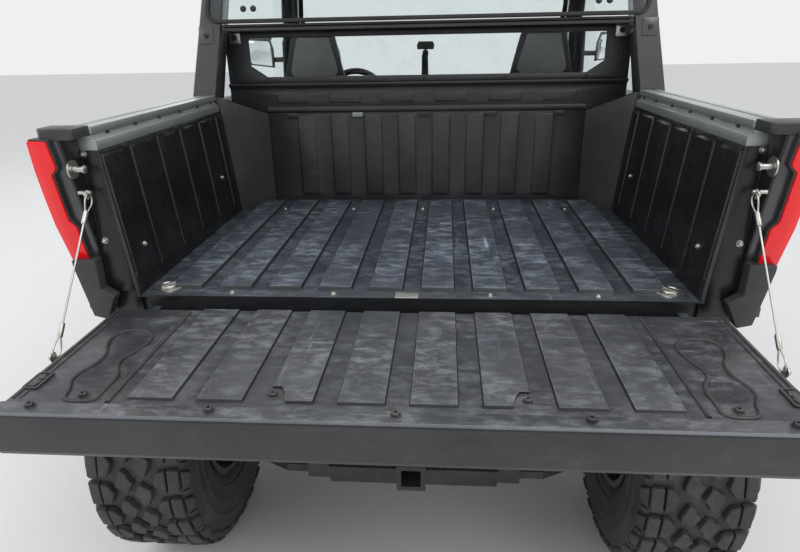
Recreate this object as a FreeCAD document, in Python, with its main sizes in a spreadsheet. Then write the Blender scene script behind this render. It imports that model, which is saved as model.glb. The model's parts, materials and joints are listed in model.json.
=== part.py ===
import FreeCAD, Part
import os
import re
import Sketcher

V = FreeCAD.Vector
os.makedirs("parts", exist_ok=True)
doc = FreeCAD.newDocument("side_by_side")

# X to the right, Y forward, Z up, millimetres; the ground is z = 0.
driving = [
    ("wheelbase", 2286, ""),
    ("front_overhang", 601, "bumper ahead of the front axle"),
    ("body_width", 1640, "over the bed's sides and the doors"),
    ("total_height", 2010, "to the top of the roof"),
    ("track_width", 1371, "between the tyres' middles"),
    ("tyre_radius", 381, "30 inch tyre"),
    ("tyre_width", 280, "over the side walls"),
    ("tread_width", 248, ""),
    ("lug_height", 16, "tread lugs above the carcass"),
    ("groove_width", 38, "between lugs"),
    ("rim_radius", 177.8, "14 inch bead seat"),
    ("rim_width", 224, "between the bead flanges"),
    ("rim_disc", 42, "wheel disc outside the tyre's middle"),
    ("bead_gap", 0.2, "radial room under the tyre's bead"),
    ("running_fit", 0.09, "radial room of every pin in its eye"),
    ("spindle_radius", 20, ""),
    ("kingpin_radius", 12, ""),
    ("kingpin_inset", 45.5, "kingpin from the tyre's middle"),
    ("hinge_pin", 6, "radius of the door and hood pins"),
    ("barrel_wall", 4, "wall of a hinge barrel round its pin"),
    ("tip_pin", 15, "radius of the bed's tipping pin"),
    ("gate_pin", 8, "radius of the tailgate's pins"),
    ("column_shaft", 12, "radius of the steering shaft"),
    ("steering_rim", 165, "radius of the steering wheel"),
    ("steering_grip", 14, "radius of its grip"),
    ("steering_tilt", 55, "degrees of its axis from upright"),
    ("gate_reach", 503, "lip of the open gate behind the floor"),
    ("gate_width", 1448, ""),
    ("gate_depth", 90, "thickness of the gate"),
    ("gate_drop", 20, "open gate below the floor"),
    ("lip_width", 40, "plain lip along the gate's free edge"),
    ("axle_inset", 170, "rear axle ahead of the floor's edge"),
    ("floor_height", 850, "cargo floor above the ground"),
    ("bed_length", 970, ""),
    ("bed_width", 1372, "between the walls at the floor"),
    ("bed_end_width", 1188, "front wall between its corners"),
    ("corner_length", 160, "fore and aft length of a corner panel"),
    ("wall_rise", 353, "floor to the side rails"),
    ("wall_lean", 33, "outward lean of a side wall"),
    ("sheet", 8, "thickness of the bed's walls"),
    ("front_rise", 330, "floor to the top of the front wall"),
    ("pad_width", 88, "raised pads of the cargo floor"),
    ("pad_pitch", 130, ""),
    ("pad_rise", 10, ""),
    ("panel_pitch", 128, "raised panels of the front wall"),
    ("panel_width", 68, ""),
    ("rib_pitch", 150, "channels of a side wall"),
    ("rib_gap", 40, "width of a channel"),
    ("rib_rise", 5, "side panels proud of the wall"),
    ("rail_depth", 54, "height of the side rails"),
    ("rail_width", 102, ""),
    ("rail_slot", 9, "width of a rail's slots"),
    ("door_thick", 43, ""),
    ("door_setback", 299, "front edge of the doors behind the front axle"),
    ("belt_height", 1200, "lower edge of the door windows"),
    ("cab_gap", 22, "cab's rear wall ahead of the bed's floor"),
    ("cab_floor", 412, "underside of the cab's floor"),
    ("floor_sheet", 12, "thickness of the cab's floor and footwell"),
    ("pillar_low_out", 795, "outer face of a front pillar's foot"),
    ("pillar_top_out", 700, "outer face of a pillar at the roof"),
    ("pillar_width", 60, ""),
    ("pillar_depth", 50, "fore and aft size of a front pillar"),
    ("pillar_rake", 21.2, "degrees of the front pillars from upright"),
    ("roof_overhang", 15, ""),
    ("glass", 6, "thickness of the panes"),
    ("window_room", 4, "bolted rear window clear of the doors"),
    ("pane_seal", 0.2, "bedding under the upper pane"),
    ("rail_inset", 230, "inner face of a frame rail"),
    ("frame_rail", 60, "width of a frame rail"),
    ("frame_low", 280, "underside of the frame"),
    ("arm_thick", 24, ""),
    ("arm_rise", 85, "arms above and below the axle"),
    ("arm_root", 150, "half width of an arm at the frame"),
    ("shock_radius", 20, ""),
    ("shock_length", 366, ""),
    ("shock_lean", 24.4, "degrees"),
    ("arch_radius", 450, "front wheel arch"),
    ("rear_arch", 445, "rear wheel arch"),
    ("flare_width", 30, "lip round each wheel arch"),
    ("receiver_bore", 50.8, "2 inch hitch receiver"),
    ("receiver_wall", 6.35, ""),
    ("hitch_pin", 8, "radius of the hitch pin's holes"),
    ("seat_offset", 470, "middle of an outer seat"),
    ("seat_width", 480, ""),
    ("seat_height", 328, "top of a cushion over the cab's floor"),
    ("hood_half", 392, "half width of the hood"),
    ("grille_slot", 20, "height of a slot of the grille"),
    ("grille_pitch", 34, ""),
    ("cable_radius", 2.5, "tailgate cables"),
]
dims = doc.addObject("Spreadsheet::Sheet", "dims")
known = {}
for row_number, (name, size, note) in enumerate(driving, start=1):
    dims.set(f"A{row_number}", name)
    dims.set(f"B{row_number}", str(size))
    dims.set(f"C{row_number}", note)
    dims.setAlias(f"B{row_number}", name)
    known[name] = "dims." + name
doc.recompute()


def full(text):
    """Put each known size's owner in front of its name."""
    return re.sub(r"[a-z][a-z_0-9]*", lambda found: known.get(found[0], found[0]), str(text))


places = [
    ("overall", "gate_reach + axle_inset + wheelbase + front_overhang"),
    ("nose", "overall / 2"),
    ("bed_rear", "gate_reach - overall / 2"),
    ("bed_front", "bed_rear + bed_length"),
    ("corner_start", "bed_front - corner_length"),
    ("rear_axle", "bed_rear + axle_inset"),
    ("front_axle", "rear_axle + wheelbase"),
    ("wheel_x", "track_width / 2"),
    ("kingpin_x", "wheel_x - kingpin_inset"),
    ("axle_height", "tyre_radius"),
    ("side_x", "body_width / 2"),
    ("floor_low", "floor_height - 16"),
    ("bed_half", "bed_width / 2"),
    ("end_half", "bed_end_width / 2"),
    ("wall_top", "floor_height + wall_rise"),
    ("rail_top", "wall_top + rail_depth"),
    ("rail_in", "bed_half + wall_lean + 1"),
    ("rail_out", "rail_in + rail_width"),
    ("front_top", "floor_height + front_rise"),
    ("gate_half", "gate_width / 2"),
    ("gate_top", "floor_height - gate_drop"),
    ("gate_low", "gate_top - gate_depth"),
    ("hinge_y", "bed_rear - 42"),
    ("hinge_z", "floor_height - 55"),
    ("tip_y", "bed_rear + 15"),
    ("tip_z", "floor_height - 135"),
    ("rail_end", "rail_inset + frame_rail"),
    ("frame_top", "frame_low + 70"),
    ("nose_rail_z", "axle_height + 410"),
    ("roof_low", "total_height - 80"),
    ("cab_rear", "bed_front + cab_gap"),
    ("cab_back", "cab_rear + 15"),
    ("floor_top", "cab_floor + floor_sheet"),
    ("sill_top", "cab_floor + 68"),
    ("sill_out", "side_x - 55"),
    ("door_front", "front_axle - door_setback"),
    ("door_back", "cab_rear - 75"),
    ("door_out", "side_x - 5"),
    ("door_in", "door_out - door_thick"),
    ("hinge_x", "door_out - 3"),
    ("door_hinge_y", "door_front + 8"),
    ("foot_front", "door_front - 125"),
    ("cowl_front", "door_front + 105"),
    ("cowl_low", "belt_height - 160"),
    ("shelf_z", "axle_height + 409"),
    ("pillar_in", "pillar_low_out - pillar_width"),
    ("pillar_top_in", "pillar_top_out - pillar_width"),
    ("pillar_top_y", "door_front + 10 - (roof_low + 70 - belt_height) * tan(pillar_rake)"),
    ("hood_hinge_y", "door_front + 75"),
    ("hood_hinge_z", "belt_height - 122"),
    ("wheel_hub_y", "door_front - 187"),
    ("wheel_hub_z", "belt_height - 49"),
    ("fascia_y", "front_axle + 421"),
    ("fender_y", "front_axle + 511"),
    ("fender_z", "belt_height - 122"),
    ("well_half", "hood_half - 9"),
    ("shelf_end", "well_half + floor_sheet"),
    ("cushion_top", "cab_floor + seat_height"),
    ("cushion_low", "cushion_top - 100"),
    ("window_low", "floor_height + 433"),
    ("window_high", "floor_height + 615"),
    ("seat_rear", "foot_front - 1025"),
    ("lean_z", "max(wall_top; belt_height + 3)"),
    ("mirror_z", "belt_height + 130"),
    ("mirror_root", "door_front + 38 - (mirror_z + 70 - belt_height) * tan(pillar_rake)"),
    ("door_share", "(window_high - belt_height) / (roof_low - 42 - belt_height)"),
    ("window_side", "door_out - 30 - door_share * (door_out - pillar_top_out - 6)"),
    ("window_half", "min(door_in; window_side) - window_room"),
    ("pane_low", "window_high + 21"),
    ("pane_share", "(pane_low - lean_z) / (roof_low - lean_z)"),
    ("pane_y", "corner_start - 5 + pane_share * (corner_length + cab_gap - 40) - glass - pane_seal"),
    ("pane_top_lean", "12 * (corner_length + cab_gap - 40) / (roof_low - lean_z)"),
    ("pane_top_y", "cab_rear - 45 - pane_top_lean - glass - pane_seal"),
    ("pane_half", "side_x - 7 - pane_share * (side_x + 4 - pillar_top_out)"),
]
layout = doc.addObject("App::VarSet", "layout")
for name, text in places:
    layout.addProperty("App::PropertyFloat", name, "places")
    layout.setExpression(name, full(text))
    known[name] = "layout." + name
doc.recompute()

PLANES = {"x": "YZ_Plane", "y": "XZ_Plane", "z": "XY_Plane"}
TURNS = {
    "x": FreeCAD.Rotation(V(0, 1, 0), 90),
    "y": FreeCAD.Rotation(V(1, 0, 0), -90),
    "z": FreeCAD.Rotation(),
}


def number(text):
    found = dims.evalExpression(full(text))
    return float(getattr(found, "Value", found))


def box(name, x, y, z):
    """A block between two places along each axis."""
    made = doc.addObject("Part::Box", name)
    for size, axis, (low, high) in (("Length", "x", x), ("Width", "y", y), ("Height", "z", z)):
        made.setExpression(size, full(f"({high}) - ({low})"))
        made.setExpression("Placement.Base." + axis, full(low))
    return made


def rod(name, axis, radius, start, end, at):
    """A cylinder along an axis; at gives its other two coordinates in order."""
    made = doc.addObject("Part::Cylinder", name)
    made.Placement.Rotation = TURNS[axis]
    made.setExpression("Radius", full(radius))
    made.setExpression("Height", full(f"({end}) - ({start})"))
    others = [word for word in "xyz" if word != axis]
    made.setExpression("Placement.Base." + axis, full(start))
    made.setExpression("Placement.Base." + others[0], full(at[0]))
    made.setExpression("Placement.Base." + others[1], full(at[1]))
    return made


def origin_feature(body, role):
    return [item for item in body.Origin.OriginFeatures if item.Role == role][0]


def outline(body, axis, points, at):
    """A closed sketch square to an axis, with every corner bound to the sheet."""
    sketch = body.newObject("Sketcher::SketchObject", body.Name + "_outline")
    sketch.AttachmentSupport = [(origin_feature(body, PLANES[axis]), "")]
    sketch.MapMode = "FlatFace"
    side = "-1" if axis == "y" else "1"
    sketch.setExpression("AttachmentOffset.Base.z", full(f"{side} * ({at})"))
    corners = [V(number(a), number(b), 0) for a, b in points]
    count = len(corners)
    lines = [Part.LineSegment(corners[i], corners[(i + 1) % count]) for i in range(count)]
    sketch.addGeometry(lines, False)
    joins = [Sketcher.Constraint("Coincident", i, 2, (i + 1) % count, 1) for i in range(count)]
    sketch.addConstraint(joins)
    for i, pair_text in enumerate(points):
        for kind, text, size in zip(("DistanceX", "DistanceY"), pair_text, corners[i]):
            index = sketch.addConstraint(Sketcher.Constraint(kind, -1, 1, i, 1, size))
            sketch.setExpression(f"Constraints[{index}]", full(text))
    return sketch


def prism(name, axis, points, start, end):
    """An outline carried along its axis from start to end."""
    body = doc.addObject("PartDesign::Body", name)
    sketch = outline(body, axis, points, end if axis == "y" else start)
    pad = body.newObject("PartDesign::Pad", name + "_pad")
    pad.Profile = (sketch, [""])
    pad.setExpression("Length", full(f"({end}) - ({start})"))
    body.Tip = pad
    return body


def loft(name, axis, first, start, second, end):
    """A straight blend between two outlines."""
    body = doc.addObject("PartDesign::Body", name)
    low = outline(body, axis, first, start)
    high = outline(body, axis, second, end)
    blend = body.newObject("PartDesign::AdditiveLoft", name + "_loft")
    blend.Profile = (low, [""])
    blend.Sections = [(high, [""])]
    blend.Ruled = True
    body.Tip = blend
    return body


def turned(name, points, x, y, z):
    """A profile of (along, radius) corners turned round the X axis, then moved."""
    body = doc.addObject("PartDesign::Body", name)
    sketch = outline(body, "z", points, 0)
    turn = body.newObject("PartDesign::Revolution", name + "_turn")
    turn.Profile = (sketch, [""])
    turn.ReferenceAxis = (origin_feature(body, "X_Axis"), [""])
    turn.Angle = 360
    body.Tip = turn
    for axis, text in (("x", x), ("y", y), ("z", z)):
        body.setExpression("Placement.Base." + axis, full(text))
    return body


def fuse(name, *pieces):
    made = doc.addObject("Part::MultiFuse", name)
    made.Shapes = list(pieces)
    made.Refine = True
    return made


def cut(name, base, *tools):
    made = doc.addObject("Part::Cut", name)
    made.Base = base
    made.Tool = tools[0] if len(tools) == 1 else fuse(name + "_tools", *tools)
    made.Refine = True
    return made


def common(name, *pieces):
    made = doc.addObject("Part::MultiCommon", name)
    made.Shapes = list(pieces)
    made.Refine = True
    return made


def group(name, *pieces):
    made = doc.addObject("Part::Compound", name)
    made.Links = list(pieces)
    return made


def mirror(piece, name=None):
    made = doc.addObject("Part::Mirroring", name or piece.Name + "_left")
    made.Source = piece
    made.Normal = V(1, 0, 0)
    made.Base = V(0, 0, 0)
    return made


def pair(name, piece):
    return group(name, piece, mirror(piece))


def rect(low_a, high_a, low_b, high_b):
    return [(low_a, low_b), (high_a, low_b), (high_a, high_b), (low_a, high_b)]



def placed(name, piece, x, y, z):
    """A piece carried to its place."""
    made = group(name, piece)
    for axis, text in (("x", x), ("y", y), ("z", z)):
        made.setExpression("Placement.Base." + axis, full(text))
    return made


def spun(name, axis, outlines, start, end, count):
    """Outlines carried from start to end, then repeated round the X axis."""
    body = doc.addObject("PartDesign::Body", name)
    pads = []
    for index, points in enumerate(outlines):
        sketch = outline(body, axis, points, start)
        pad = body.newObject("PartDesign::Pad", f"{name}_pad_{index}")
        pad.Profile = (sketch, [""])
        pad.setExpression("Length", full(f"({end}) - ({start})"))
        pads.append(pad)
    ring = body.newObject("PartDesign::PolarPattern", name + "_ring")
    ring.Originals = pads
    ring.Axis = (origin_feature(body, "X_Axis"), [""])
    ring.Angle = 360
    ring.Occurrences = count
    body.Tip = ring
    return body


def row(name, axis, points, start, rise, step, count, taper=20, along="H_Axis"):
    """A tapered pad and its copies, one step apart."""
    body = doc.addObject("PartDesign::Body", name)
    sketch = outline(body, axis, points, start)
    pad = body.newObject("PartDesign::Pad", name + "_first")
    pad.Profile = (sketch, [""])
    pad.setExpression("Length", full(rise))
    pad.TaperAngle = -taper
    pattern = body.newObject("PartDesign::LinearPattern", name + "_row")
    pattern.Originals = [pad]
    pattern.Direction = (sketch, [along])
    pattern.setExpression("Length", full(f"({step}) * {count - 1}"))
    pattern.Occurrences = count
    body.Tip = pattern
    return body


def post(name, points, x, y, z):
    """A profile of (radius, height) corners turned round an upright axis, then moved."""
    body = doc.addObject("PartDesign::Body", name)
    sketch = outline(body, "x", points, "0")
    turn = body.newObject("PartDesign::Revolution", name + "_turn")
    turn.Profile = (sketch, [""])
    turn.ReferenceAxis = (origin_feature(body, "Z_Axis"), [""])
    turn.Angle = 360
    body.Tip = turn
    for axis, text in (("x", x), ("y", y), ("z", z)):
        body.setExpression("Placement.Base." + axis, full(text))
    return body


nodes = {}

# Wheels: one tyre and one rim, made once and carried to all four corners.
TYRE = [
    ("-rim_width / 2", "rim_radius + bead_gap"),
    ("rim_width / 2", "rim_radius + bead_gap"),
    ("rim_width / 2", "rim_radius + 10"),
    ("tyre_width / 2", "rim_radius + 72"),
    ("tread_width / 2", "tyre_radius"),
    ("-tread_width / 2", "tyre_radius"),
    ("-tyre_width / 2", "rim_radius + 72"),
    ("-rim_width / 2", "rim_radius + 10"),
]
SHOULDER = "tread_width / 2 - 62"
GROOVE_LOW = "tyre_radius - lug_height"
GROOVE_TOP = "tyre_radius + 12"
LUGS = 20
tread_grooves = spun("tread_grooves", "z", [
    [(SHOULDER, "-groove_width / 2"), ("tyre_width / 2 + 4", "-groove_width / 2 + 16"),
     ("tyre_width / 2 + 4", "groove_width / 2 + 16"), (SHOULDER, "groove_width / 2")],
    [("-tyre_width / 2 - 4", "-groove_width / 2 + 16"), (f"-({SHOULDER})", "-groove_width / 2"),
     (f"-({SHOULDER})", "groove_width / 2"), ("-tyre_width / 2 - 4", "groove_width / 2 + 16")],
], GROOVE_LOW, GROOVE_TOP, LUGS)
middle_grooves = spun("middle_grooves", "z", [
    [("24 - tread_width / 4", "-groove_width / 2 - 30"), ("tread_width / 4 - 24", "-groove_width / 2 + 30"),
     ("tread_width / 4 - 24", "groove_width / 2 + 30"), ("24 - tread_width / 4", "groove_width / 2 - 30")],
], GROOVE_LOW, GROOVE_TOP, LUGS)
ring_grooves = []
for side, middle in (("right", "tread_width / 4 - 12"), ("left", "12 - tread_width / 4")):
    ring_grooves.append(turned(f"ring_groove_{side}", [
        (f"{middle} - 12", GROOVE_LOW), (f"{middle} + 12", GROOVE_LOW),
        (f"{middle} + 12", GROOVE_TOP), (f"{middle} - 12", GROOVE_TOP)], "0", "0", "0"))
tyre = cut("tyre", turned("tyre_blank", TYRE, "0", "0", "0"), tread_grooves, middle_grooves, *ring_grooves)

RIM = [
    ("-rim_width / 2 - 5", "rim_radius + 8"),
    ("-rim_width / 2", "rim_radius + 8"),
    ("-rim_width / 2", "rim_radius"),
    ("rim_width / 2", "rim_radius"),
    ("rim_width / 2", "rim_radius + 8"),
    ("rim_width / 2 + 5", "rim_radius + 8"),
    ("rim_width / 2 + 5", "rim_radius - 10"),
    ("rim_disc + 28", "rim_radius - 18"),
    ("rim_disc + 14", "90"),
    ("rim_disc + 24", "58"),
    ("rim_disc + 24", "spindle_radius + running_fit"),
    ("5", "spindle_radius + running_fit"),
    ("5", "58"),
    ("rim_disc", "90"),
    ("rim_disc + 10", "rim_radius - 14"),
    ("-rim_width / 2 - 5", "rim_radius - 9"),
]
SPOKES = 8
rim_windows = spun("rim_windows", "x", [
    [("-16", "78"), ("16", "78"), ("34", "rim_radius - 32"), ("-34", "rim_radius - 32")],
], "0", "rim_width / 2", SPOKES)
rim = cut("rim", turned("rim_blank", RIM, "0", "0", "0"), rim_windows)
for end, axle in (("front", "front_axle"), ("rear", "rear_axle")):
    for kind, piece in (("tyre", tyre), ("rim", rim)):
        right = placed(f"{kind}_{end}_right", piece, "wheel_x", axle, "axle_height")
        nodes[f"{kind}_{end}_right"] = right
        nodes[f"{kind}_{end}_left"] = mirror(right, f"{kind}_{end}_left")

# Steered knuckles with their kingpins, and the plain rear hubs.
knuckle_right = fuse(
    "knuckle_right",
    prism("knuckle_block", "x",
          [("front_axle - 24", "axle_height - 65"), ("front_axle + 24", "axle_height - 65"),
           ("front_axle + 45", "axle_height - 30"), ("front_axle + 45", "axle_height + 30"),
           ("front_axle + 24", "axle_height + 65"), ("front_axle - 24", "axle_height + 65"),
           ("front_axle - 45", "axle_height + 30"), ("front_axle - 45", "axle_height - 30")],
          "kingpin_x - 40", "kingpin_x + 40"),
    rod("kingpin", "z", "kingpin_radius", "axle_height - arm_rise - 16",
        "axle_height + arm_rise + 16", ("kingpin_x", "front_axle")),
    rod("front_spindle", "x", "spindle_radius", "kingpin_x + 30", "wheel_x + 60",
        ("front_axle", "axle_height")),
    box("steering_arm", ("kingpin_x - 40", "kingpin_x - 18"), ("front_axle - 145", "front_axle - 40"),
        ("axle_height - 14", "axle_height + 14")),
)
nodes["knuckle_right"] = knuckle_right
nodes["knuckle_left"] = mirror(knuckle_right, "knuckle_left")
rear_hub = fuse(
    "rear_hub",
    prism("hub_block", "x",
          [("rear_axle - 30", "axle_height - arm_rise - 12"), ("rear_axle + 30",
              "axle_height - arm_rise - 12"),
           ("rear_axle + 45", "axle_height - 40"), ("rear_axle + 45", "axle_height + 40"),
           ("rear_axle + 30", "axle_height + arm_rise + 12"), ("rear_axle - 30",
               "axle_height + arm_rise + 12"),
           ("rear_axle - 45", "axle_height + 40"), ("rear_axle - 45", "axle_height - 40")],
          "kingpin_x - 50", "kingpin_x + 40"),
    rod("rear_spindle", "x", "spindle_radius", "kingpin_x + 30", "wheel_x + 60",
        ("rear_axle", "axle_height")),
)
nodes["rear_hubs"] = pair("rear_hubs", rear_hub)


def arm(name, axle, height, reach, tip, opened):
    """A flat wishbone from the frame out to the hub."""
    low = f"axle_height + ({height}) - arm_thick / 2"
    high = f"axle_height + ({height}) + arm_thick / 2"
    outer = [
        ("rail_end", f"{axle} - arm_root"),
        ("rail_end + 70", f"{axle} - arm_root"),
        (reach, f"{axle} - {tip}"),
        (reach, f"{axle} + {tip}"),
        ("rail_end + 70", f"{axle} + arm_root"),
        ("rail_end", f"{axle} + arm_root"),
    ]
    plate = prism(name + "_plate", "z", outer, low, high)
    if not opened:
        return plate
    inner = [
        ("rail_end - 5", f"{axle} - arm_root + 24"),
        ("rail_end + 60", f"{axle} - arm_root + 24"),
        ("rail_end + 260", f"{axle} - 10"),
        ("rail_end + 260", f"{axle} + 10"),
        ("rail_end + 60", f"{axle} + arm_root - 24"),
        ("rail_end - 5", f"{axle} + arm_root - 24"),
    ]
    return cut(name, plate, prism(name + "_window", "z", inner, low + " - 1", high + " + 1"))


def steered_arm(name, height, opened):
    plate = arm(name + "_arm", "front_axle", height, "kingpin_x", "25", opened)
    low = f"axle_height + ({height}) - arm_thick / 2"
    high = f"axle_height + ({height}) + arm_thick / 2"
    at = ("kingpin_x", "front_axle")
    eye = rod(name + "_eye", "z", "28", low, high, at)
    bore = rod(name + "_bore", "z", "kingpin_radius + running_fit", low + " - 1", high + " + 1", at)
    return cut(name, fuse(name + "_blank", plate, eye), bore)


front_low = steered_arm("front_low_arm", "-arm_rise", False)
front_high = steered_arm("front_high_arm", "arm_rise", True)
nodes["front_arms"] = group("front_arms", front_low, front_high, mirror(front_low), mirror(front_high))
rear_low = arm("rear_low_arm", "rear_axle", "-arm_rise", "kingpin_x - 50", "30", False)
rear_high = arm("rear_high_arm", "rear_axle", "arm_rise", "kingpin_x - 50", "30", True)
nodes["rear_arms"] = group("rear_arms", rear_low, rear_high, mirror(rear_low), mirror(rear_high))

SHOCK = [
    ("0", "0"), ("shock_radius - 4", "0"), ("shock_radius - 4", "60"), ("shock_radius", "66"),
    ("shock_radius", "shock_length - 110"), ("shock_radius - 6", "shock_length - 104"),
    ("shock_radius - 6", "shock_length"), ("0", "shock_length"),
]
shocks = []
for end, axle in (("front", "front_axle"), ("rear", "rear_axle")):
    shock = post(f"shock_{end}", SHOCK, "rail_end + 188", f"{axle} + 38", "axle_height - arm_rise + 14")
    shock.Placement.Rotation = FreeCAD.Rotation(V(0, -1, 0), 24.4)
    shock.setExpression("Placement.Rotation.Angle", full("shock_lean"))
    ear = prism(f"shock_ear_{end}", "y",
                [("rail_end", "axle_height + 248"), ("rail_end + 40", "axle_height + 260"),
                 ("rail_end + 40", "axle_height + 304"), ("rail_end", "axle_height + 304")],
                f"{axle} + 14", f"{axle} + 150")
    lower = front_low if end == "front" else rear_low
    shocks.append(cut(f"shock_{end}_fit", fuse(f"shock_{end}_set", shock, ear), lower))
nodes["shocks"] = group("shocks", *shocks, *[mirror(item) for item in shocks])

# Frame: rails, cross tubes and the uprights that carry arms and bed.
low_rail = prism("low_rail", "x",
                 [("tip_y - 40", "frame_low + 24"), ("tip_y + 30", "frame_low"),
                  ("front_axle + 250", "frame_low"), ("front_axle + 380", "frame_low + 40"),
                  ("front_axle + 380", "frame_top + 40"), ("front_axle + 320", "frame_top + 40"),
                  ("front_axle + 250", "frame_top"), ("tip_y - 40", "frame_top")],
                 "rail_inset", "rail_end")
rails = [low_rail]
for name, y, z in (
        ("tip_rail", ("tip_y - 26", "cab_rear - 45"), ("tip_z - 25", "tip_z + 25")),
        ("nose_rail", ("front_axle - 194", "front_axle + 380"), ("nose_rail_z", "nose_rail_z + 50")),
        ("bump_rest", ("cab_rear - 125", "cab_rear - 65"), ("tip_z + 25", "tip_z + 55")),
        ("cab_post", ("cab_rear - 105", "cab_rear - 45"), ("frame_top", "tip_z - 25")),
        ("nose_post", ("front_axle + 320", "front_axle + 380"), ("frame_top + 40", "nose_rail_z")),
        ("rear_back_post", ("rear_axle - arm_root - 20", "rear_axle - arm_root + 40"),
         ("frame_top", "tip_z - 25")),
        ("rear_fore_post", ("rear_axle + arm_root - 40", "rear_axle + arm_root + 20"),
         ("frame_top", "tip_z - 25")),
        ("front_back_post", ("front_axle - arm_root - 20", "front_axle - arm_root + 40"),
         ("frame_top", "nose_rail_z")),
        ("front_fore_post", ("front_axle + arm_root - 40", "front_axle + arm_root + 20"),
         ("frame_top", "nose_rail_z"))):
    rails.append(box(name, ("rail_inset", "rail_end"), y, z))
half_frame = fuse("half_frame", *rails)
tip_bore = rod("tip_bore", "x", "tip_pin + running_fit", "rail_inset - 5", "rail_end + 5",
               ("tip_y", "tip_z"))
bored_frame = cut("bored_frame", half_frame, tip_bore)
cross = []
for name, half, y, z in (
        ("cross_tube_tail", "rail_inset", ("tip_y - 40", "tip_y + 20"), ("frame_low + 10",
            "frame_top - 10")),
        ("cross_tube_bed", "rail_inset", ("cab_rear - 415", "cab_rear - 355"),
         ("frame_low + 10", "frame_top - 10")),
        ("cross_tube_seat", "rail_inset", ("cab_back + 170", "cab_back + 230"),
         ("frame_low + 10", "frame_top - 10")),
        ("cross_tube_foot", "rail_inset", ("foot_front - 255", "foot_front - 195"),
         ("frame_low + 10", "frame_top - 10")),
        ("cross_tube_axle", "rail_inset", ("front_axle - 30", "front_axle + 30"),
         ("frame_low + 10", "frame_top - 10")),
        ("cross_tube_nose", "rail_inset", ("front_axle + 320", "front_axle + 380"),
         ("frame_low + 45", "frame_top + 30")),
        ("floor_bearer_rear", "rail_inset + 400", ("cab_back + 30", "cab_back + 90"),
         ("frame_top", "cab_floor")),
        ("floor_bearer_fore", "rail_inset + 400", ("foot_front - 155", "foot_front - 95"),
         ("frame_top", "cab_floor")),
        ("nose_bearer_rear", "shelf_end + 5", ("front_axle - 79", "front_axle - 29"),
         ("nose_rail_z + 5", "nose_rail_z + 45")),
        ("nose_bearer_fore", "shelf_end + 5", ("front_axle + 325", "front_axle + 375"),
         ("nose_rail_z + 5", "nose_rail_z + 45")),
        ("rear_bearer", "rail_inset", ("cab_rear - 105", "cab_rear - 45"), ("tip_z - 25", "tip_z + 15"))):
    cross.append(box(name, (f"-({half})", half), y, z))
nodes["frame"] = fuse("frame", bored_frame, mirror(bored_frame), *cross)

front_shaft = rod("front_shaft", "x", "14", "90", "kingpin_x - 68", ("front_axle", "axle_height"))
rear_shaft = rod("rear_shaft", "x", "14", "110", "kingpin_x - 50", ("rear_axle", "axle_height"))
nodes["half_shafts"] = group("half_shafts", front_shaft, mirror(front_shaft), rear_shaft, mirror(rear_shaft))
gearbox = prism("gearbox", "x",
                [("tip_y + 22", "frame_top"), ("rear_axle + 110", "frame_top"), ("rear_axle + 110",
                    "frame_top + 85"),
                 ("rear_axle + 70", "frame_top + 115"), ("tip_y + 40", "frame_top + 115"),
                 ("tip_y + 22", "frame_top + 95")], "-110", "110")
differential = turned("front_differential",
                      [("-90", "0"), ("90", "0"), ("90", "34"), ("45", "60"), ("-45", "60"), ("-90", "34")],
                      "0", "front_axle", "axle_height")
nodes["driveline"] = group(
    "driveline",
    box("engine", ("-215", "215"), ("rear_axle + 240", "cab_rear - 120"),
        ("frame_top - 10", "frame_top + 290")),
    gearbox,
    box("gearbox_link", ("-60", "60"), ("rear_axle + 110", "rear_axle + 240"),
        ("frame_top + 10", "frame_top + 90")),
    cut("front_differential_cut", differential,
        box("differential_room", ("-100", "100"), ("front_axle - 70", "front_axle + 70"),
            ("frame_low", "frame_top - 10"))),
)
muffler_can = turned("muffler_can", [("-210", "0"), ("210", "0"), ("210", "48"), ("185", "75"), ("-185",
    "75"),
                                     ("-210", "48")], "0", "rear_axle - 20", "frame_top + 200")
muffler_foot = box("muffler_foot", ("-25", "25"), ("rear_axle - 40", "rear_axle"),
                   ("frame_top + 115", "frame_top + 135"))
tail_pipe = rod("tail_pipe", "y", "24", "tip_y - 30", "rear_axle - 60", ("150", "frame_top + 200"))
nodes["muffler"] = fuse("muffler", muffler_can, muffler_foot, tail_pipe)

# Hitch receiver: a square tube with a cross hole for its pin.
HITCH_LOW = "frame_top - 10"
HITCH_MID = "frame_top - 10 + receiver_bore / 2 + receiver_wall"
tube_half = "receiver_bore / 2 + receiver_wall"
tube = box("receiver_tube", (f"-({tube_half})", tube_half), ("bed_rear - 100", "tip_y + 20"),
           (HITCH_LOW, f"{HITCH_LOW} + receiver_bore + 2 * receiver_wall"))
collar = box("receiver_collar", (f"-({tube_half}) - 6", f"{tube_half} + 6"), ("bed_rear - 100",
    "bed_rear - 82"),
             (f"{HITCH_LOW} - 6", f"{HITCH_LOW} + receiver_bore + 2 * receiver_wall + 6"))
socket = box("receiver_socket", ("-receiver_bore / 2", "receiver_bore / 2"),
             ("bed_rear - 101", "tip_y - 10"),
             (f"{HITCH_LOW} + receiver_wall", f"{HITCH_LOW} + receiver_wall + receiver_bore"))
cross_hole = rod("hitch_pin_hole", "x", "hitch_pin", "-60", "60", ("bed_rear - 62", HITCH_MID))
nodes["hitch_receiver"] = cut("hitch_receiver", fuse("receiver_blank", tube, collar), socket, cross_hole)

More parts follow.
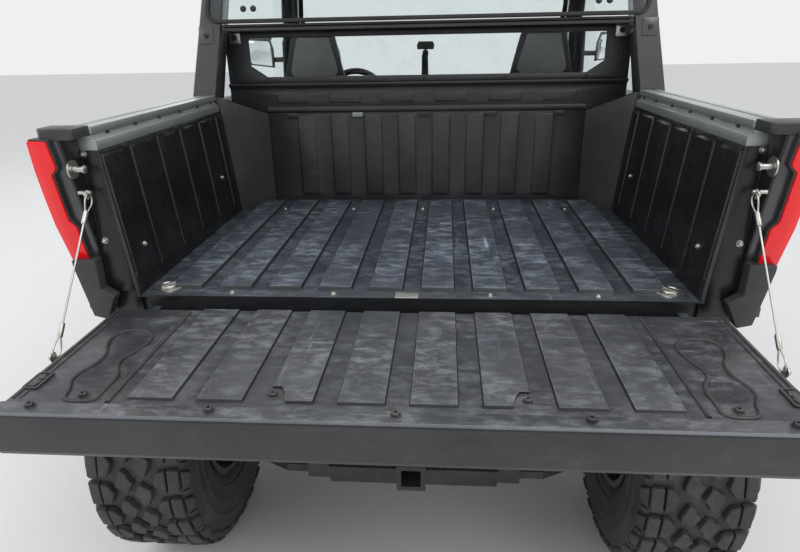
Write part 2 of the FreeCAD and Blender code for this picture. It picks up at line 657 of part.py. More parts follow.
# Cab floor, footwell and the housings round the front wheels.
tub = [
    box("floor_plate", ("-sill_out", "sill_out"), ("cab_back", "foot_front"), ("cab_floor", "floor_top")),
    box("seat_bulkhead", ("65 - sill_out", "sill_out - 65"), ("cab_back + 12",
        "cab_back + 12 + floor_sheet"),
        ("floor_top", "cushion_low + 52")),
    prism("toe_board", "x", [("foot_front - floor_sheet", "floor_top"), ("foot_front", "cab_floor"),
                             ("foot_front + 13", "cab_floor"), ("cowl_front", "shelf_z"),
                             ("cowl_front", "cowl_low"), ("cowl_front - floor_sheet", "cowl_low"),
                             ("cowl_front - floor_sheet", "shelf_z + 3")],
          "-well_half", "well_half"),
]
for side, sign in (("right", 1), ("left", -1)):
    near, far = ("well_half", "sill_out") if sign > 0 else ("-sill_out", "-well_half")
    tub.append(box(f"wheel_wall_{side}", (near, far), ("foot_front - floor_sheet", "foot_front"),
                   ("floor_top", "shelf_z - floor_sheet")))
    tub.append(box(f"wheel_shelf_{side}", (near, far), ("foot_front - floor_sheet", "door_front + 5"),
                   ("shelf_z - floor_sheet", "shelf_z")))
    near, far = ("well_half", "shelf_end") if sign > 0 else ("-shelf_end", "-well_half")
    tub.append(box(f"well_side_{side}", (near, far), ("foot_front", "cowl_front"), ("cab_floor", "shelf_z")))
    tub.append(box(f"well_top_{side}", (near, far), ("door_front + 22", "cowl_front"), ("shelf_z",
        "cowl_low")))
nodes["floor_tub"] = fuse("floor_tub", *tub)
rocker = prism("rocker", "y",
               [("sill_out", "cab_floor + 4"), ("door_out - 14", "cab_floor + 4"), ("door_out",
                   "cab_floor + 22"),
                ("door_out", "sill_top - 12"), ("door_out - 8", "sill_top - 2"), ("sill_out",
                    "sill_top - 2")],
               "door_back - 10", "foot_front - 10")
nodes["rockers"] = pair("rockers", rocker)

# Cab frame.
front_pillar = loft(
    "front_pillar", "z",
    rect("pillar_in", "pillar_low_out", "door_front + 10", "door_front + 10 + pillar_depth"),
        "belt_height - 70",
    rect("pillar_top_in", "pillar_top_out", "pillar_top_y", "pillar_top_y + pillar_depth"), "roof_low")
front_foot = box("front_foot", ("pillar_in", "pillar_low_out"),
                 ("door_front + 10", "door_front + 10 + pillar_depth"), ("shelf_z", "belt_height - 70"))
rear_pillar = loft(
    "rear_pillar", "z",
    rect("rail_out - 80", "side_x + 4", "corner_start - 5", "corner_start + 95"), "lean_z",
    rect("pillar_top_in", "pillar_top_out", "cab_rear - 45", "cab_back"), "roof_low")
rear_foot = box("rear_foot", ("rail_out - 80", "side_x - 5"), ("corner_start - 5", "corner_start + 90"),
                ("cab_floor", "lean_z"))
rear_link = box("rear_link", ("rail_out - 80", "sill_out"), ("corner_start + 80", "cab_back"),
                ("cab_floor", "sill_top"))
roof_rail = box("roof_rail", ("pillar_top_in", "pillar_top_out"), ("cab_rear - 15", "pillar_top_y + 20"),
                ("roof_low - 30", "roof_low"))
sill = box("sill", ("sill_out - 65", "sill_out"), ("cab_back", "foot_front - floor_sheet"),
           ("floor_top", "sill_top"))
half_cab = fuse("half_cab", front_pillar, front_foot, rear_pillar, rear_foot, rear_link, roof_rail, sill)
HEADER = ("-pillar_top_in - 20", "pillar_top_in + 20")
cab_pieces = [half_cab, mirror(half_cab)]
for name, x, y, z in (
        ("front_header", HEADER, ("pillar_top_y", "pillar_top_y + pillar_depth"), ("roof_low - 40",
            "roof_low")),
        ("rear_header", HEADER, ("cab_rear - 45", "cab_back"), ("roof_low - 40", "roof_low")),
        ("cowl", ("-pillar_in", "pillar_in"), ("door_front + 20", "door_front + 60"),
         ("cowl_low", "belt_height - 110")),
        ("cowl_lip", ("-pillar_in", "pillar_in"), ("door_front + 20", "door_front + 44"),
         ("belt_height - 110", "belt_height - 80")),
        ("cowl_floor", ("-shelf_end", "shelf_end"), ("door_front + 20", "cowl_front"),
         ("cowl_low", "cowl_low + 10")),
        ("rear_beam", ("15 - window_half", "window_half - 15"), ("corner_start + 70", "cab_rear + 12"),
         ("window_high", "window_high + 19"))):
    cab_pieces.append(box(name, x, y, z))
eye_at = ("hood_hinge_y", "hood_hinge_z")
for side, near, far in (("right", "hood_half + 64", "hood_half + 82"), ("left", "-hood_half - 82",
    "-hood_half - 64")):
    block = box(f"hood_bracket_{side}", (near, far), ("door_front + 50", "hood_hinge_y + 13"),
                ("hood_hinge_z - 13", "hood_hinge_z + 11"))
    bore = rod(f"hood_bore_{side}", "x", "hinge_pin + running_fit", f"{near} - 5", f"{far} + 5", eye_at)
    cab_pieces.append(cut(f"hood_eye_{side}", block, bore))
nodes["cab_frame"] = fuse("cab_blank", *cab_pieces)

# Roof: its side view and its front view cut one crowned panel, with pressed channels.
roof_side = prism(
    "roof_side", "x",
    [("cab_rear - 75", "roof_low"), ("pillar_top_y + 90", "roof_low"), ("pillar_top_y + 115",
        "roof_low + 20"),
     ("pillar_top_y + 85", "total_height - 25"), ("pillar_top_y - 20", "total_height - 4"),
     ("pillar_top_y - 280", "total_height"), ("cab_rear + 35", "total_height"),
     ("cab_rear - 60", "total_height - 25"), ("cab_rear - 87", "roof_low + 20")],
    "-pillar_top_out - roof_overhang", "pillar_top_out + roof_overhang")
roof_front = prism(
    "roof_front", "y",
    [("-pillar_top_out - roof_overhang", "roof_low"), ("pillar_top_out + roof_overhang", "roof_low"),
     ("pillar_top_out + roof_overhang", "roof_low + 34"), ("pillar_top_out - 25", "total_height - 22"),
     ("pillar_top_out - 190", "total_height - 6"), ("pillar_top_out - 330", "total_height"),
     ("330 - pillar_top_out", "total_height"), ("190 - pillar_top_out", "total_height - 6"),
     ("25 - pillar_top_out", "total_height - 22"), ("-pillar_top_out - roof_overhang", "roof_low + 34")],
    "cab_rear - 100", "pillar_top_y + 130")
roof_channels = row("roof_channels", "z", rect("-255", "-195", "cab_rear + 60", "pillar_top_y - 60"),
                    "total_height - 7", "12", "150", 4, taper=-20)
nodes["roof"] = cut("roof", common("roof_blank", roof_side, roof_front), roof_channels)
nodes["windshield"] = loft(
    "windshield", "z",
    rect("-pillar_in", "pillar_in", "door_front + 28", "door_front + 28 + glass"), "belt_height - 80",
    rect("-pillar_top_in", "pillar_top_in", "pillar_top_y + 34", "pillar_top_y + 34 + glass"),
    "roof_low - 40")

# Rear of the cab: panel with its shelf, bolted lower window, upper pane.
PANEL_HALF = "rail_out - 83"
rear_wall = box("rear_wall", (f"-({PANEL_HALF})", PANEL_HALF), ("cab_rear", "cab_back"),
                ("cushion_low + 60", "window_low"))
rear_shelf = prism("rear_shelf", "x",
                   [("cab_rear - 15", "window_low - 8"), ("cab_rear", "window_low - 20"), ("cab_rear",
                       "window_low"),
                    ("cab_rear - 15", "window_low")], f"-({PANEL_HALF})", PANEL_HALF)
rear_tie = box("rear_tie", (f"-({PANEL_HALF})", PANEL_HALF), ("cab_back", "cab_back + 24"),
               ("cushion_low + 52", "cushion_low + 80"))
rear_swages = row("rear_swages", "y", rect("-560", "-440", "front_top + 30", "window_low - 40"),
                  "cab_rear", "4", "200", 6)
nodes["rear_panel"] = fuse("rear_panel", rear_wall, rear_shelf, rear_tie, rear_swages)
frame_panel = box("window_panel", ("-window_half", "window_half"), ("cab_rear", "cab_rear + 12"),
                  ("window_low", "window_high"))
WINDOW_HALF = "rail_in - 70"
window_hole = prism("window_hole", "y",
                    [(f"60 - ({WINDOW_HALF})", "window_low + 22"), (f"{WINDOW_HALF} - 60",
                        "window_low + 22"),
                     (WINDOW_HALF, "window_low + 62"), (WINDOW_HALF, "window_high - 23"),
                     (f"-({WINDOW_HALF})", "window_high - 23"), (f"-({WINDOW_HALF})", "window_low + 62")],
                    "cab_rear - 1", "cab_rear + 13")
window_pane = box("window_pane", (f"-({WINDOW_HALF}) - 15", f"{WINDOW_HALF} + 15"),
                  ("cab_rear + 12", "cab_rear + 12 + glass"), ("window_low + 12", "window_high - 10"))
nodes["rear_window"] = cut("rear_window", frame_panel, window_hole)
upper_pane = loft(
    "upper_pane", "z",
    rect("-pane_half", "pane_half", "pane_y", "pane_y + glass"), "pane_low",
    rect("10 - pillar_top_out", "pillar_top_out - 10", "pane_top_y", "pane_top_y + glass"),
        "roof_low - 12")
nodes["rear_glass"] = group("rear_glass", window_pane, upper_pane)

# Dash with the steering column.
shaft_turn = FreeCAD.Rotation(V(1, 0, 0), 55)


def on_column(piece):
    """Stand a piece on the steering wheel's axis."""
    piece.Placement.Rotation = shaft_turn
    piece.setExpression("Placement.Rotation.Angle", full("steering_tilt"))
    piece.setExpression("Placement.Base.x", full("-seat_offset + 65"))
    piece.setExpression("Placement.Base.y", full("wheel_hub_y"))
    piece.setExpression("Placement.Base.z", full("wheel_hub_z"))
    return piece


def sleeve(name, radius, start, end):
    """A round blank that still takes a placement of its own."""
    return post(name, [("0", start), (radius, start), (radius, end), ("0", end)], "0", "0", "0")


dash_block = prism("dash_block", "x",
                   [("door_front - 95", "belt_height - 100"), ("door_front - 85", "cowl_low - 160"),
                    ("door_front + 19", "cowl_low - 180"), ("door_front + 19", "belt_height - 108"),
                    ("door_front - 50", "belt_height - 70")], "-pillar_in", "pillar_in")
pod = loft("instrument_pod", "z",
           rect("-seat_offset - 30", "-seat_offset + 160", "door_front - 92", "door_front + 5"),
           "belt_height - 110",
           rect("-seat_offset - 5", "-seat_offset + 135", "door_front - 62", "door_front - 10"),
           "belt_height - 46")
dash_recess = row("dash_recesses", "y", rect("-70", "-4", "cowl_low - 120", "cowl_low + 20"),
                  "door_front - 80", "12", "74", 2, taper=0)
glove_seam = box("glove_shelf", ("150", "640"), ("door_front - 96", "door_front - 66"),
                 ("cowl_low - 60", "cowl_low - 52"))
column = on_column(sleeve("column", "30", "-180", "-30"))
column_bore = on_column(sleeve("column_bore", "column_shaft + running_fit", "-150", "-20"))
nodes["dash"] = cut("dash", fuse("dash_blank", dash_block, pod, column), column_bore, dash_recess,
    glove_seam)
ring = doc.addObject("Part::Torus", "steering_ring")
ring.setExpression("Radius1", full("steering_rim"))
ring.setExpression("Radius2", full("steering_grip"))
spoke = prism("spoke_across", "z",
              [("-steering_rim", "-12"), ("-38", "-26"), ("38", "-26"), ("steering_rim", "-12"),
               ("steering_rim", "12"), ("38", "22"), ("-38", "22"), ("-steering_rim", "12")], "-5", "5")
spoke_low = prism("spoke_low", "z",
                  [("-14", "-steering_rim"), ("14", "-steering_rim"), ("26", "0"), ("-26", "0")], "-5", "5")
wheel_pad = sleeve("wheel_pad", "38", "-22", "20")
nodes["steering_wheel"] = on_column(fuse(
    "steering_wheel", ring, spoke, spoke_low, wheel_pad, sleeve("wheel_shaft", "column_shaft", "-140", "0")))

lever = fuse(
    "gear_lever",
    post("lever_stem", [("0", "0"), ("12", "0"), ("7", "120"), ("7", "290"), ("0", "290")],
         "-30", "door_front - 135", "belt_height - 115"),
    box("lever_foot", ("-42", "-18"), ("door_front - 147", "door_front - 70"),
        ("belt_height - 120", "belt_height - 102")),
    prism("lever_grip", "y",
          [("-72", "belt_height + 170"), ("12", "belt_height + 170"), ("15", "belt_height + 190"),
           ("6", "belt_height + 205"), ("-66", "belt_height + 205"), ("-75", "belt_height + 190")],
          "door_front - 150", "door_front - 120"))
pedals = []
for name, low, high in (("brake", "-seat_offset + 98", "-seat_offset + 170"),
                        ("throttle", "-seat_offset + 208", "-seat_offset + 265")):
    pad = prism(f"{name}_pad", "x",
                [("foot_front + 32", "cab_floor + 133"), ("foot_front + 44", "cab_floor + 133"),
                 ("foot_front + 50", "cab_floor + 218"), ("foot_front + 38", "cab_floor + 218")], low, high)
    stem = box(f"{name}_stem", (f"{low} + 24", f"{low} + 38"), ("foot_front + 44", "foot_front + 113"),
               ("cab_floor + 183", "cab_floor + 200"))
    pedals.append(cut(f"{name}_pedal", fuse(f"{name}_blank", pad, stem), nodes["floor_tub"]))
nodes["controls"] = group("controls", cut("gear_lever_fit", lever, nodes["dash"]), *pedals)

# Seats: base with its front scooped under, then plain closed cushions.
nodes["seat_base"] = prism(
    "seat_base", "x",
    [("seat_rear + 420", "floor_top"), ("seat_rear + 840", "floor_top"), ("seat_rear + 900", "cushion_low"),
     ("seat_rear + 420", "cushion_low")], "-700", "700")
cushions = []
backs = []
rests = []
HALF_SEAT = "seat_width / 2"
for side, low, high in (("left", f"-seat_offset - {HALF_SEAT}", f"-seat_offset + {HALF_SEAT}"),
                        ("middle", f"{HALF_SEAT} - seat_offset + 12", f"seat_offset - {HALF_SEAT} - 12"),
                        ("right", f"seat_offset - {HALF_SEAT}", f"seat_offset + {HALF_SEAT}")):
    cushions.append(prism(f"cushion_{side}", "x",
                          [("seat_rear + 495", "cushion_low"), ("seat_rear + 920", "cushion_low"),
                           ("seat_rear + 950", "cushion_low + 30"), ("seat_rear + 940", "cushion_top"),
                           ("seat_rear + 495", "cushion_top")], low, high))
    backs.append(prism(f"back_{side}", "x",
                       [("seat_rear + 420", "cushion_low"), ("seat_rear + 492", "cushion_low"),
                        ("seat_rear + 492", "cushion_top + 20"), ("seat_rear + 410", "cushion_top + 495"),
                        ("seat_rear + 330", "cushion_top + 495")], low, high))
for side, middle in (("left", "-seat_offset"), ("right", "seat_offset")):
    rests.append(prism(f"rest_{side}", "y",
                       [(f"{middle} - 118", "cushion_top + 510"), (f"{middle} + 118", "cushion_top + 510"),
                        (f"{middle} + 106", "cushion_top + 660"), (f"{middle} + 75", "cushion_top + 705"),
                        (f"{middle} - 75", "cushion_top + 705"), (f"{middle} - 106", "cushion_top + 660")],
                       "seat_rear + 305", "seat_rear + 380"))
    for count, shift in enumerate(("-45", "45")):
        rests.append(rod(f"rest_post_{side}_{count}", "z", "7", "cushion_top + 495", "cushion_top + 510",
                         (f"{middle} + {shift}", "seat_rear + 355")))
nodes["seat_cushions"] = group("seat_cushions", *cushions)
nodes["seat_backs"] = group("seat_backs", *backs)
nodes["headrests"] = fuse("headrests", *rests)

# Mirrors on the front pillars, where the pillars start to lean.
mirror_arm = fuse(
    "mirror_arm",
    box("mirror_stem", ("pillar_in - 13", "pillar_in + 27"), ("mirror_root", "door_front + 45"),
        ("mirror_z", "mirror_z + 22")),
    box("mirror_reach", ("pillar_in + 27", "side_x + 60"), ("door_front + 25", "door_front + 45"),
        ("mirror_z", "mirror_z + 22")),
    loft("mirror_head", "y",
         [("side_x + 50", "mirror_z - 25"), ("side_x + 186", "mirror_z - 10"),
          ("side_x + 200", "mirror_z + 30"), ("side_x + 190", "mirror_z + 110"),
          ("side_x + 64", "mirror_z + 104"), ("side_x + 50", "mirror_z + 60")], "door_front + 20",
         [("side_x + 75", "mirror_z"), ("side_x + 165", "mirror_z + 8"),
          ("side_x + 178", "mirror_z + 34"), ("side_x + 170", "mirror_z + 92"),
          ("side_x + 84", "mirror_z + 86"), ("side_x + 75", "mirror_z + 56")], "door_front + 55"))
nodes["mirrors"] = pair("mirrors", cut("mirror_set", mirror_arm, front_pillar))

# Doors: the side view and the curved section cut one panel; recess and grip on its skin.
door_side = prism(
    "door_side", "x",
    [("door_back", "sill_top + 10"), ("foot_front + 5", "sill_top + 10"), ("foot_front + 5",
        "sill_top + 80"),
     ("door_front", "shelf_z - 30"), ("door_front", "belt_height - 80"), ("door_front - 30", "belt_height"),
     ("door_back", "belt_height")],
    "door_in", "door_out + 1")
door_section = prism(
    "door_section", "y",
    [("door_in - 1", "sill_top"), ("door_out - 14", "sill_top"), ("door_out", "sill_top + 90"),
     ("door_out", "belt_height - 180"), ("door_out - 2", "belt_height - 60"), ("door_out - 8",
         "belt_height + 1"),
     ("door_in - 1", "belt_height + 1")], "door_back - 1", "door_front + 1")
door_shell = common("door_shell", door_side, door_section)
door_recess = loft(
    "door_recess", "x",
    [("door_back + 70", "sill_top + 90"), ("foot_front - 60", "sill_top + 90"),
     ("door_front - 110", "belt_height - 240"), ("door_back + 70", "belt_height - 200")], "door_out - 7",
    [("door_back + 50", "sill_top + 70"), ("foot_front - 44", "sill_top + 70"),
     ("door_front - 84", "belt_height - 222"), ("door_back + 50", "belt_height - 180")], "door_out + 2")
door_pocket = box("handle_pocket", ("door_out - 22", "door_out + 5"), ("door_back + 60", "door_back + 190"),
                  ("belt_height - 120", "belt_height - 60"))
LOW_DOOR = ("door_out - 30", "door_out - 8")
TOP_DOOR = ("pillar_top_out - 24", "pillar_top_out")
door_upper = loft(
    "door_upper", "z",
    rect(*LOW_DOOR, "door_back", "door_front - 30"), "belt_height",
    rect(*TOP_DOOR, "cab_back + 4", "pillar_top_y + 2"), "roof_low - 42")
door_hole = loft(
    "door_hole", "z",
    rect("door_out - 60", "door_out + 30", "door_back + 45", "door_front - 92"), "belt_height + 30",
    rect("pillar_top_out - 54", "pillar_top_out + 36", "cab_back + 44", "pillar_top_y - 35"),
        "roof_low - 77")
barrels = []
pins = []
eyes = []
eye_rooms = []
barrel_rooms = []
BARREL = "hinge_pin + barrel_wall"
for place, low in (("low", "shelf_z + 60"), ("high", "shelf_z + 270")):
    at = ("hinge_x", "door_hinge_y")
    pins.append(rod(f"door_pin_{place}", "z", "hinge_pin", f"{low} - 5", f"{low} + 60", at))
    barrels.append(rod(f"door_barrel_{place}", "z", BARREL, f"{low} + 36", f"{low} + 64", at))
    barrels.append(box(f"door_strap_{place}", ("hinge_x - 9", "hinge_x + 3"),
                       ("door_front - 6", "door_hinge_y"), (f"{low} + 36", f"{low} + 64")))
    eye = fuse(f"door_eye_{place}_blank",
               rod(f"door_eye_{place}_ring", "z", BARREL, low, f"{low} + 30", at),
               box(f"door_eye_{place}_strap", ("hinge_x - 9", "hinge_x + 3"),
                   ("door_hinge_y", "door_hinge_y + 24"), (low, f"{low} + 30")))
    eye_rooms.append(rod(f"door_room_{place}", "z", BARREL + " + 7", f"{low} - 6", f"{low} + 36", at))
    barrel_rooms.append(rod(f"fender_room_{place}", "z", BARREL + " + 7", f"{low} + 30", f"{low} + 70", at))
    eyes.append(cut(f"door_eye_{place}", eye,
                    rod(f"door_eye_{place}_bore", "z", "hinge_pin + running_fit",
                        f"{low} - 2", f"{low} + 32", at)))
handle = prism("door_handle", "z",
               [("door_out - 24", "door_back + 56"), ("door_out - 9", "door_back + 70"),
                ("door_out - 3", "door_back + 92"), ("door_out - 3", "door_back + 158"),
                ("door_out - 9", "door_back + 180"), ("door_out - 24", "door_back + 194")],
               "belt_height - 98", "belt_height - 76")
door_right = fuse("door_right",
                  cut("door_notched", door_shell, door_recess, door_pocket, *eye_rooms), handle,
                  cut("door_window", door_upper, door_hole), *barrels, *pins)
nodes["door_panel_right"] = door_right
nodes["door_panel_left"] = mirror(door_right, "door_panel_left")
pane_blank = loft(
    "door_pane", "z",
    rect("door_out - 22", "door_out - 22 + glass", "door_back + 5", "door_front - 36"), "belt_height",
    rect("pillar_top_out - 16", "pillar_top_out - 16 + glass", "cab_back + 8", "pillar_top_y - 4"),
    "roof_low - 42")
door_glass = common("door_glass_right", pane_blank, door_hole)
nodes["door_glass_right"] = door_glass
nodes["door_glass_left"] = mirror(door_glass, "door_glass_left")

# Front bodywork: fenders with an arch lip, fascia with its grille, lamps and bumper.
FENDER_IN = "hood_half + 8"
FENDER_TOP = [
    ("cowl_front", "fender_z"), ("front_axle + 240", "fender_z - 28"), ("front_axle + 411", "fender_z - 86"),
    ("fender_y - 24", "fender_z - 160"), ("fender_y", "fender_z - 250"), ("fender_y", "shelf_z - 130"),
]
fender_top = prism("fender_top", "x",
                   FENDER_TOP + [("fender_y - 16", "shelf_z - 130")]
                   + [("fender_y - 16", "fender_z - 254"), ("fender_y - 39", "fender_z - 168"),
                      ("front_axle + 402", "fender_z - 102"), ("front_axle + 236", "fender_z - 44"),
                      ("cowl_front", "fender_z - 16")],
                   FENDER_IN, "side_x - 20")
fender_skirt = prism(
    "fender_skirt", "x",
    [("door_front + 16", "axle_height + 419"), ("door_front + 16", "fender_z + 13"), *FENDER_TOP,
     ("front_axle + 321", "axle_height + 119"), ("front_axle - 179", "axle_height + 119")],
    "side_x - 20", "side_x - 5")
fender_arch = rod("fender_arch", "x", "arch_radius", "side_x - 40", "side_x + 30",
                  ("front_axle", "axle_height"))
flare_blank = rod("fender_flare_blank", "x", "arch_radius + flare_width", "side_x - 20", "side_x + 8",
                  ("front_axle", "axle_height"))
flare_range = prism(
    "fender_flare_range", "x",
    [("door_front + 16", "shelf_z - 20"), ("door_front + 16", "shelf_z + 200"), ("fender_y",
        "shelf_z + 200"),
     ("fender_y", "axle_height + 119"), ("front_axle + 150", "axle_height + 119")],
    "side_x - 21", "side_x + 9")
fender_wall = prism(
    "fender_wall", "x",
    [("cowl_front", "shelf_z"), ("cowl_front", "fender_z - 16"), ("front_axle + 236", "fender_z - 44"),
     ("front_axle + 402", "fender_z - 102"), ("fender_y - 39", "fender_z - 168"), ("fender_y - 16",
         "shelf_z + 60"),
     ("fender_y - 16", "shelf_z")],
    FENDER_IN, f"{FENDER_IN} + floor_sheet")
fender_cap = prism(
    "fender_cap", "x",
    [("door_front + 60", "fender_z - 3"), ("door_front + 60", "fender_z + 7"), ("cowl_front", "fender_z"),
     ("cowl_front", "fender_z - 12")],
    "pillar_in", "side_x - 20")
fender = fuse("fender_right",
              cut("fender_skirt_arched", fuse("fender_skirt_lipped", fender_skirt,
                                              common("fender_flare", flare_blank, flare_range)),
                  fender_arch, *barrel_rooms),
              fender_top, fender_wall, fender_cap, *eyes)
nodes["front_fenders"] = pair("front_fenders", fender)
FASCIA = [
    ("fascia_y", "shelf_z - 130"), ("fascia_y + 112", "shelf_z - 130"), ("fascia_y + 122", "shelf_z - 90"),
    ("fascia_y + 112", "shelf_z + 70"), ("fascia_y + 72", "shelf_z + 182"), ("fascia_y + 48",
        "shelf_z + 194"),
    ("fascia_y + 48", "shelf_z + 180"), ("fascia_y + 60", "shelf_z + 170"), ("fascia_y + 72",
        "shelf_z + 70"),
    ("fascia_y + 72", "shelf_z - 110"), ("fascia_y", "shelf_z - 110"),
]
fascia = prism("fascia", "x", FASCIA, "3 - hood_half", "hood_half - 3")
grille = row("grille_slots", "y", rect("-hood_half + 120", "hood_half - 120", "shelf_z - 70",
                                       "shelf_z - 70 + grille_slot"),
             "fascia_y + 130", "70", "grille_pitch", 5, taper=0, along="V_Axis")
nodes["front_fascia"] = cut("front_fascia", fascia, grille)
headlamp = loft(
    "headlamp", "y",
    [("hood_half + 58", "shelf_z - 30"), ("side_x - 130", "shelf_z - 10"), ("side_x - 110", "shelf_z + 40"),
     ("side_x - 150", "shelf_z + 60"), ("hood_half + 58", "shelf_z + 52")], "fender_y",
    [("hood_half + 72", "shelf_z - 18"), ("side_x - 146", "shelf_z - 2"), ("side_x - 134", "shelf_z + 34"),
     ("side_x - 164", "shelf_z + 46"), ("hood_half + 72", "shelf_z + 40")], "fender_y + 26")
nodes["headlamps"] = pair("headlamps", headlamp)
bumper_section = prism(
    "bumper_section", "x",
    [("nose - 45", "axle_height + 139"), ("nose - 12", "axle_height + 139"), ("nose", "axle_height + 155"),
     ("nose", "axle_height + 223"), ("nose - 12", "axle_height + 239"), ("nose - 45", "axle_height + 239")],
    "-480", "480")
bumper_plan = prism(
    "bumper_plan", "z",
    [("-480", "nose - 46"), ("480", "nose - 46"), ("480", "nose - 34"), ("360", "nose + 1"), ("-360",
        "nose + 1"),
     ("-480", "nose - 34")], "axle_height + 130", "axle_height + 250")
guard_outer = prism(
    "guard_outer", "y",
    [("-300", "axle_height + 230"), ("300", "axle_height + 230"), ("300", "shelf_z + 30"), ("250",
        "shelf_z + 80"),
     ("-250", "shelf_z + 80"), ("-300", "shelf_z + 30")], "nose - 42", "nose - 8")
guard_inner = prism(
    "guard_inner", "y",
    [("-266", "axle_height + 229"), ("266", "axle_height + 229"), ("266", "shelf_z + 16"), ("236",
        "shelf_z + 46"),
     ("-236", "shelf_z + 46"), ("-266", "shelf_z + 16")], "nose - 43", "nose - 7")
bumper_mount = box("bumper_mount", ("rail_inset", "rail_end"), ("front_axle + 380", "nose - 45"),
                   ("axle_height + 159", "axle_height + 219"))
nodes["front_bumper"] = fuse(
    "front_bumper", common("bumper_bar", bumper_section, bumper_plan), cut("guard", guard_outer,
        guard_inner),
    bumper_mount, mirror(bumper_mount),
    box("fascia_foot", ("-rail_end", "rail_end"), ("fascia_y", "fascia_y + 40"),
        ("axle_height + 219", "shelf_z - 130")))

# Hood: an open crowned shell on two pins at its rear edge.
def hood_section(half, low, edge, crown):
    """Front view of the hood at one place along it."""
    return [(f"-({half})", low), (half, low), (half, edge), (f"({half}) - 70", crown + " - 4"),
            (f"({half}) - 150", crown + " - 12"), (f"150 - ({half})", crown + " - 12"),
            (f"70 - ({half})", crown + " - 4"), (f"-({half})", edge)]


hood_outer = loft(
    "hood_outer", "y",
    hood_section("hood_half", "belt_height - 140", "belt_height - 100", "belt_height - 78"),
        "hood_hinge_y + 5",
    hood_section("hood_half - 6", "belt_height - 260", "belt_height - 215", "belt_height - 196"),
        "fascia_y + 38")
hood_inner = loft(
    "hood_inner", "y",
    hood_section("hood_half - 10", "belt_height - 200", "belt_height - 110", "belt_height - 88"),
    "hood_hinge_y + 3",
    hood_section("hood_half - 16", "belt_height - 300", "belt_height - 225", "belt_height - 206"),
        "fascia_y + 40")
hood_parts = [cut("hood_shell", hood_outer, hood_inner)]
for side, pin_x, ear_x in (("right", ("hood_half + 33", "hood_half + 88"), ("hood_half - 20",
    "hood_half + 58")),
                           ("left", ("-hood_half - 88", "-hood_half - 33"), ("-hood_half - 58",
                               "20 - hood_half"))):
    hood_parts.append(rod(f"hood_pin_{side}", "x", "hinge_pin", *pin_x, eye_at))
    hood_parts.append(box(f"hood_ear_{side}", ear_x, ("hood_hinge_y - 9", "hood_hinge_y + 22"),
                          ("hood_hinge_z - 9", "hood_hinge_z + 9")))
nodes["hood"] = fuse("hood", *hood_parts)

# Cargo bed: floor with raised pads.
floor_plan = [
    ("-bed_half", "bed_rear"), ("bed_half", "bed_rear"), ("bed_half", "corner_start - 1"),
    ("end_half - 1", "bed_front"), ("1 - end_half", "bed_front"), ("-bed_half", "corner_start - 1"),
]
slab = prism("floor_slab", "z", floor_plan, "floor_low", "floor_height - pad_rise")
pads = row("floor_pads", "z",
           rect("-4.5 * pad_pitch - pad_width / 2", "-4.5 * pad_pitch + pad_width / 2",
                "bed_rear + 42", "bed_front - 48"), "floor_height - pad_rise", "pad_rise", "pad_pitch", 10)
rear_step = prism(
    "rear_step", "x",
    [("bed_rear - 20", "floor_low - 62"), ("bed_rear + 20", "floor_low - 62"), ("bed_rear + 20",
        "floor_low"),
     ("bed_rear + 8", "floor_low"), ("bed_rear + 8", "floor_low - 46"), ("bed_rear - 20", "floor_low - 46")],
    "-bed_half", "bed_half")
pad_plan = [
    ("-bed_half", "bed_rear"), ("bed_half", "bed_rear"), ("bed_half", "corner_start - 30"),
    ("end_half - 12", "bed_front - 12"), ("12 - end_half", "bed_front - 12"),
    ("-bed_half", "corner_start - 30"),
]
pad_limit = prism("pad_limit", "z", pad_plan, "floor_low", "floor_height + 1")
gate_eyes = []
for side, near, far in (("right", "bed_half - 46", "bed_half - 22"), ("left", "22 - bed_half",
    "46 - bed_half")):
    lug = prism(f"gate_lug_{side}", "x",
                [("bed_rear + 8", "hinge_z - 15"), ("bed_rear + 8", "hinge_z + 10"), ("hinge_y - 8",
                    "hinge_z + 10"),
                 ("hinge_y - 15", "hinge_z + 4"), ("hinge_y - 15", "hinge_z - 8"), ("hinge_y - 8",
                     "hinge_z - 15")],
                near, far)
    gate_eyes.append(cut(f"gate_eye_{side}", lug,
                         rod(f"gate_bore_{side}", "x", "gate_pin + running_fit", f"{near} - 5",
                             f"{far} + 5", ("hinge_y", "hinge_z"))))
floor_blank = fuse("floor_blank", slab, common("pads_trimmed", pads, pad_limit), rear_step)
lug_room = box("gate_lug_room", ("21 - bed_half", "bed_half - 21"), ("hinge_y - 20", "hinge_y + 12"),
               ("hinge_z - 40", "hinge_z + 20"))
nodes["bed_floor"] = fuse("bed_floor", cut("step_cleared", floor_blank, lug_room), *gate_eyes)

# Side walls with upright channels between raised panels, and the slanted corner panels.
wall_right = prism(
    "wall_right", "y",
    [("bed_half", "floor_low"), ("bed_half + 10", "floor_low"), ("bed_half + 10", "floor_height"),
     ("bed_half + wall_lean + sheet", "wall_top"), ("bed_half + wall_lean", "wall_top"),
     ("bed_half", "floor_height")],
    "bed_rear", "corner_start")


def wall_x(height, proud):
    """The inner face of the leaning wall at a height over the floor."""
    return f"bed_half + wall_lean * ({height}) / wall_rise - ({proud})"


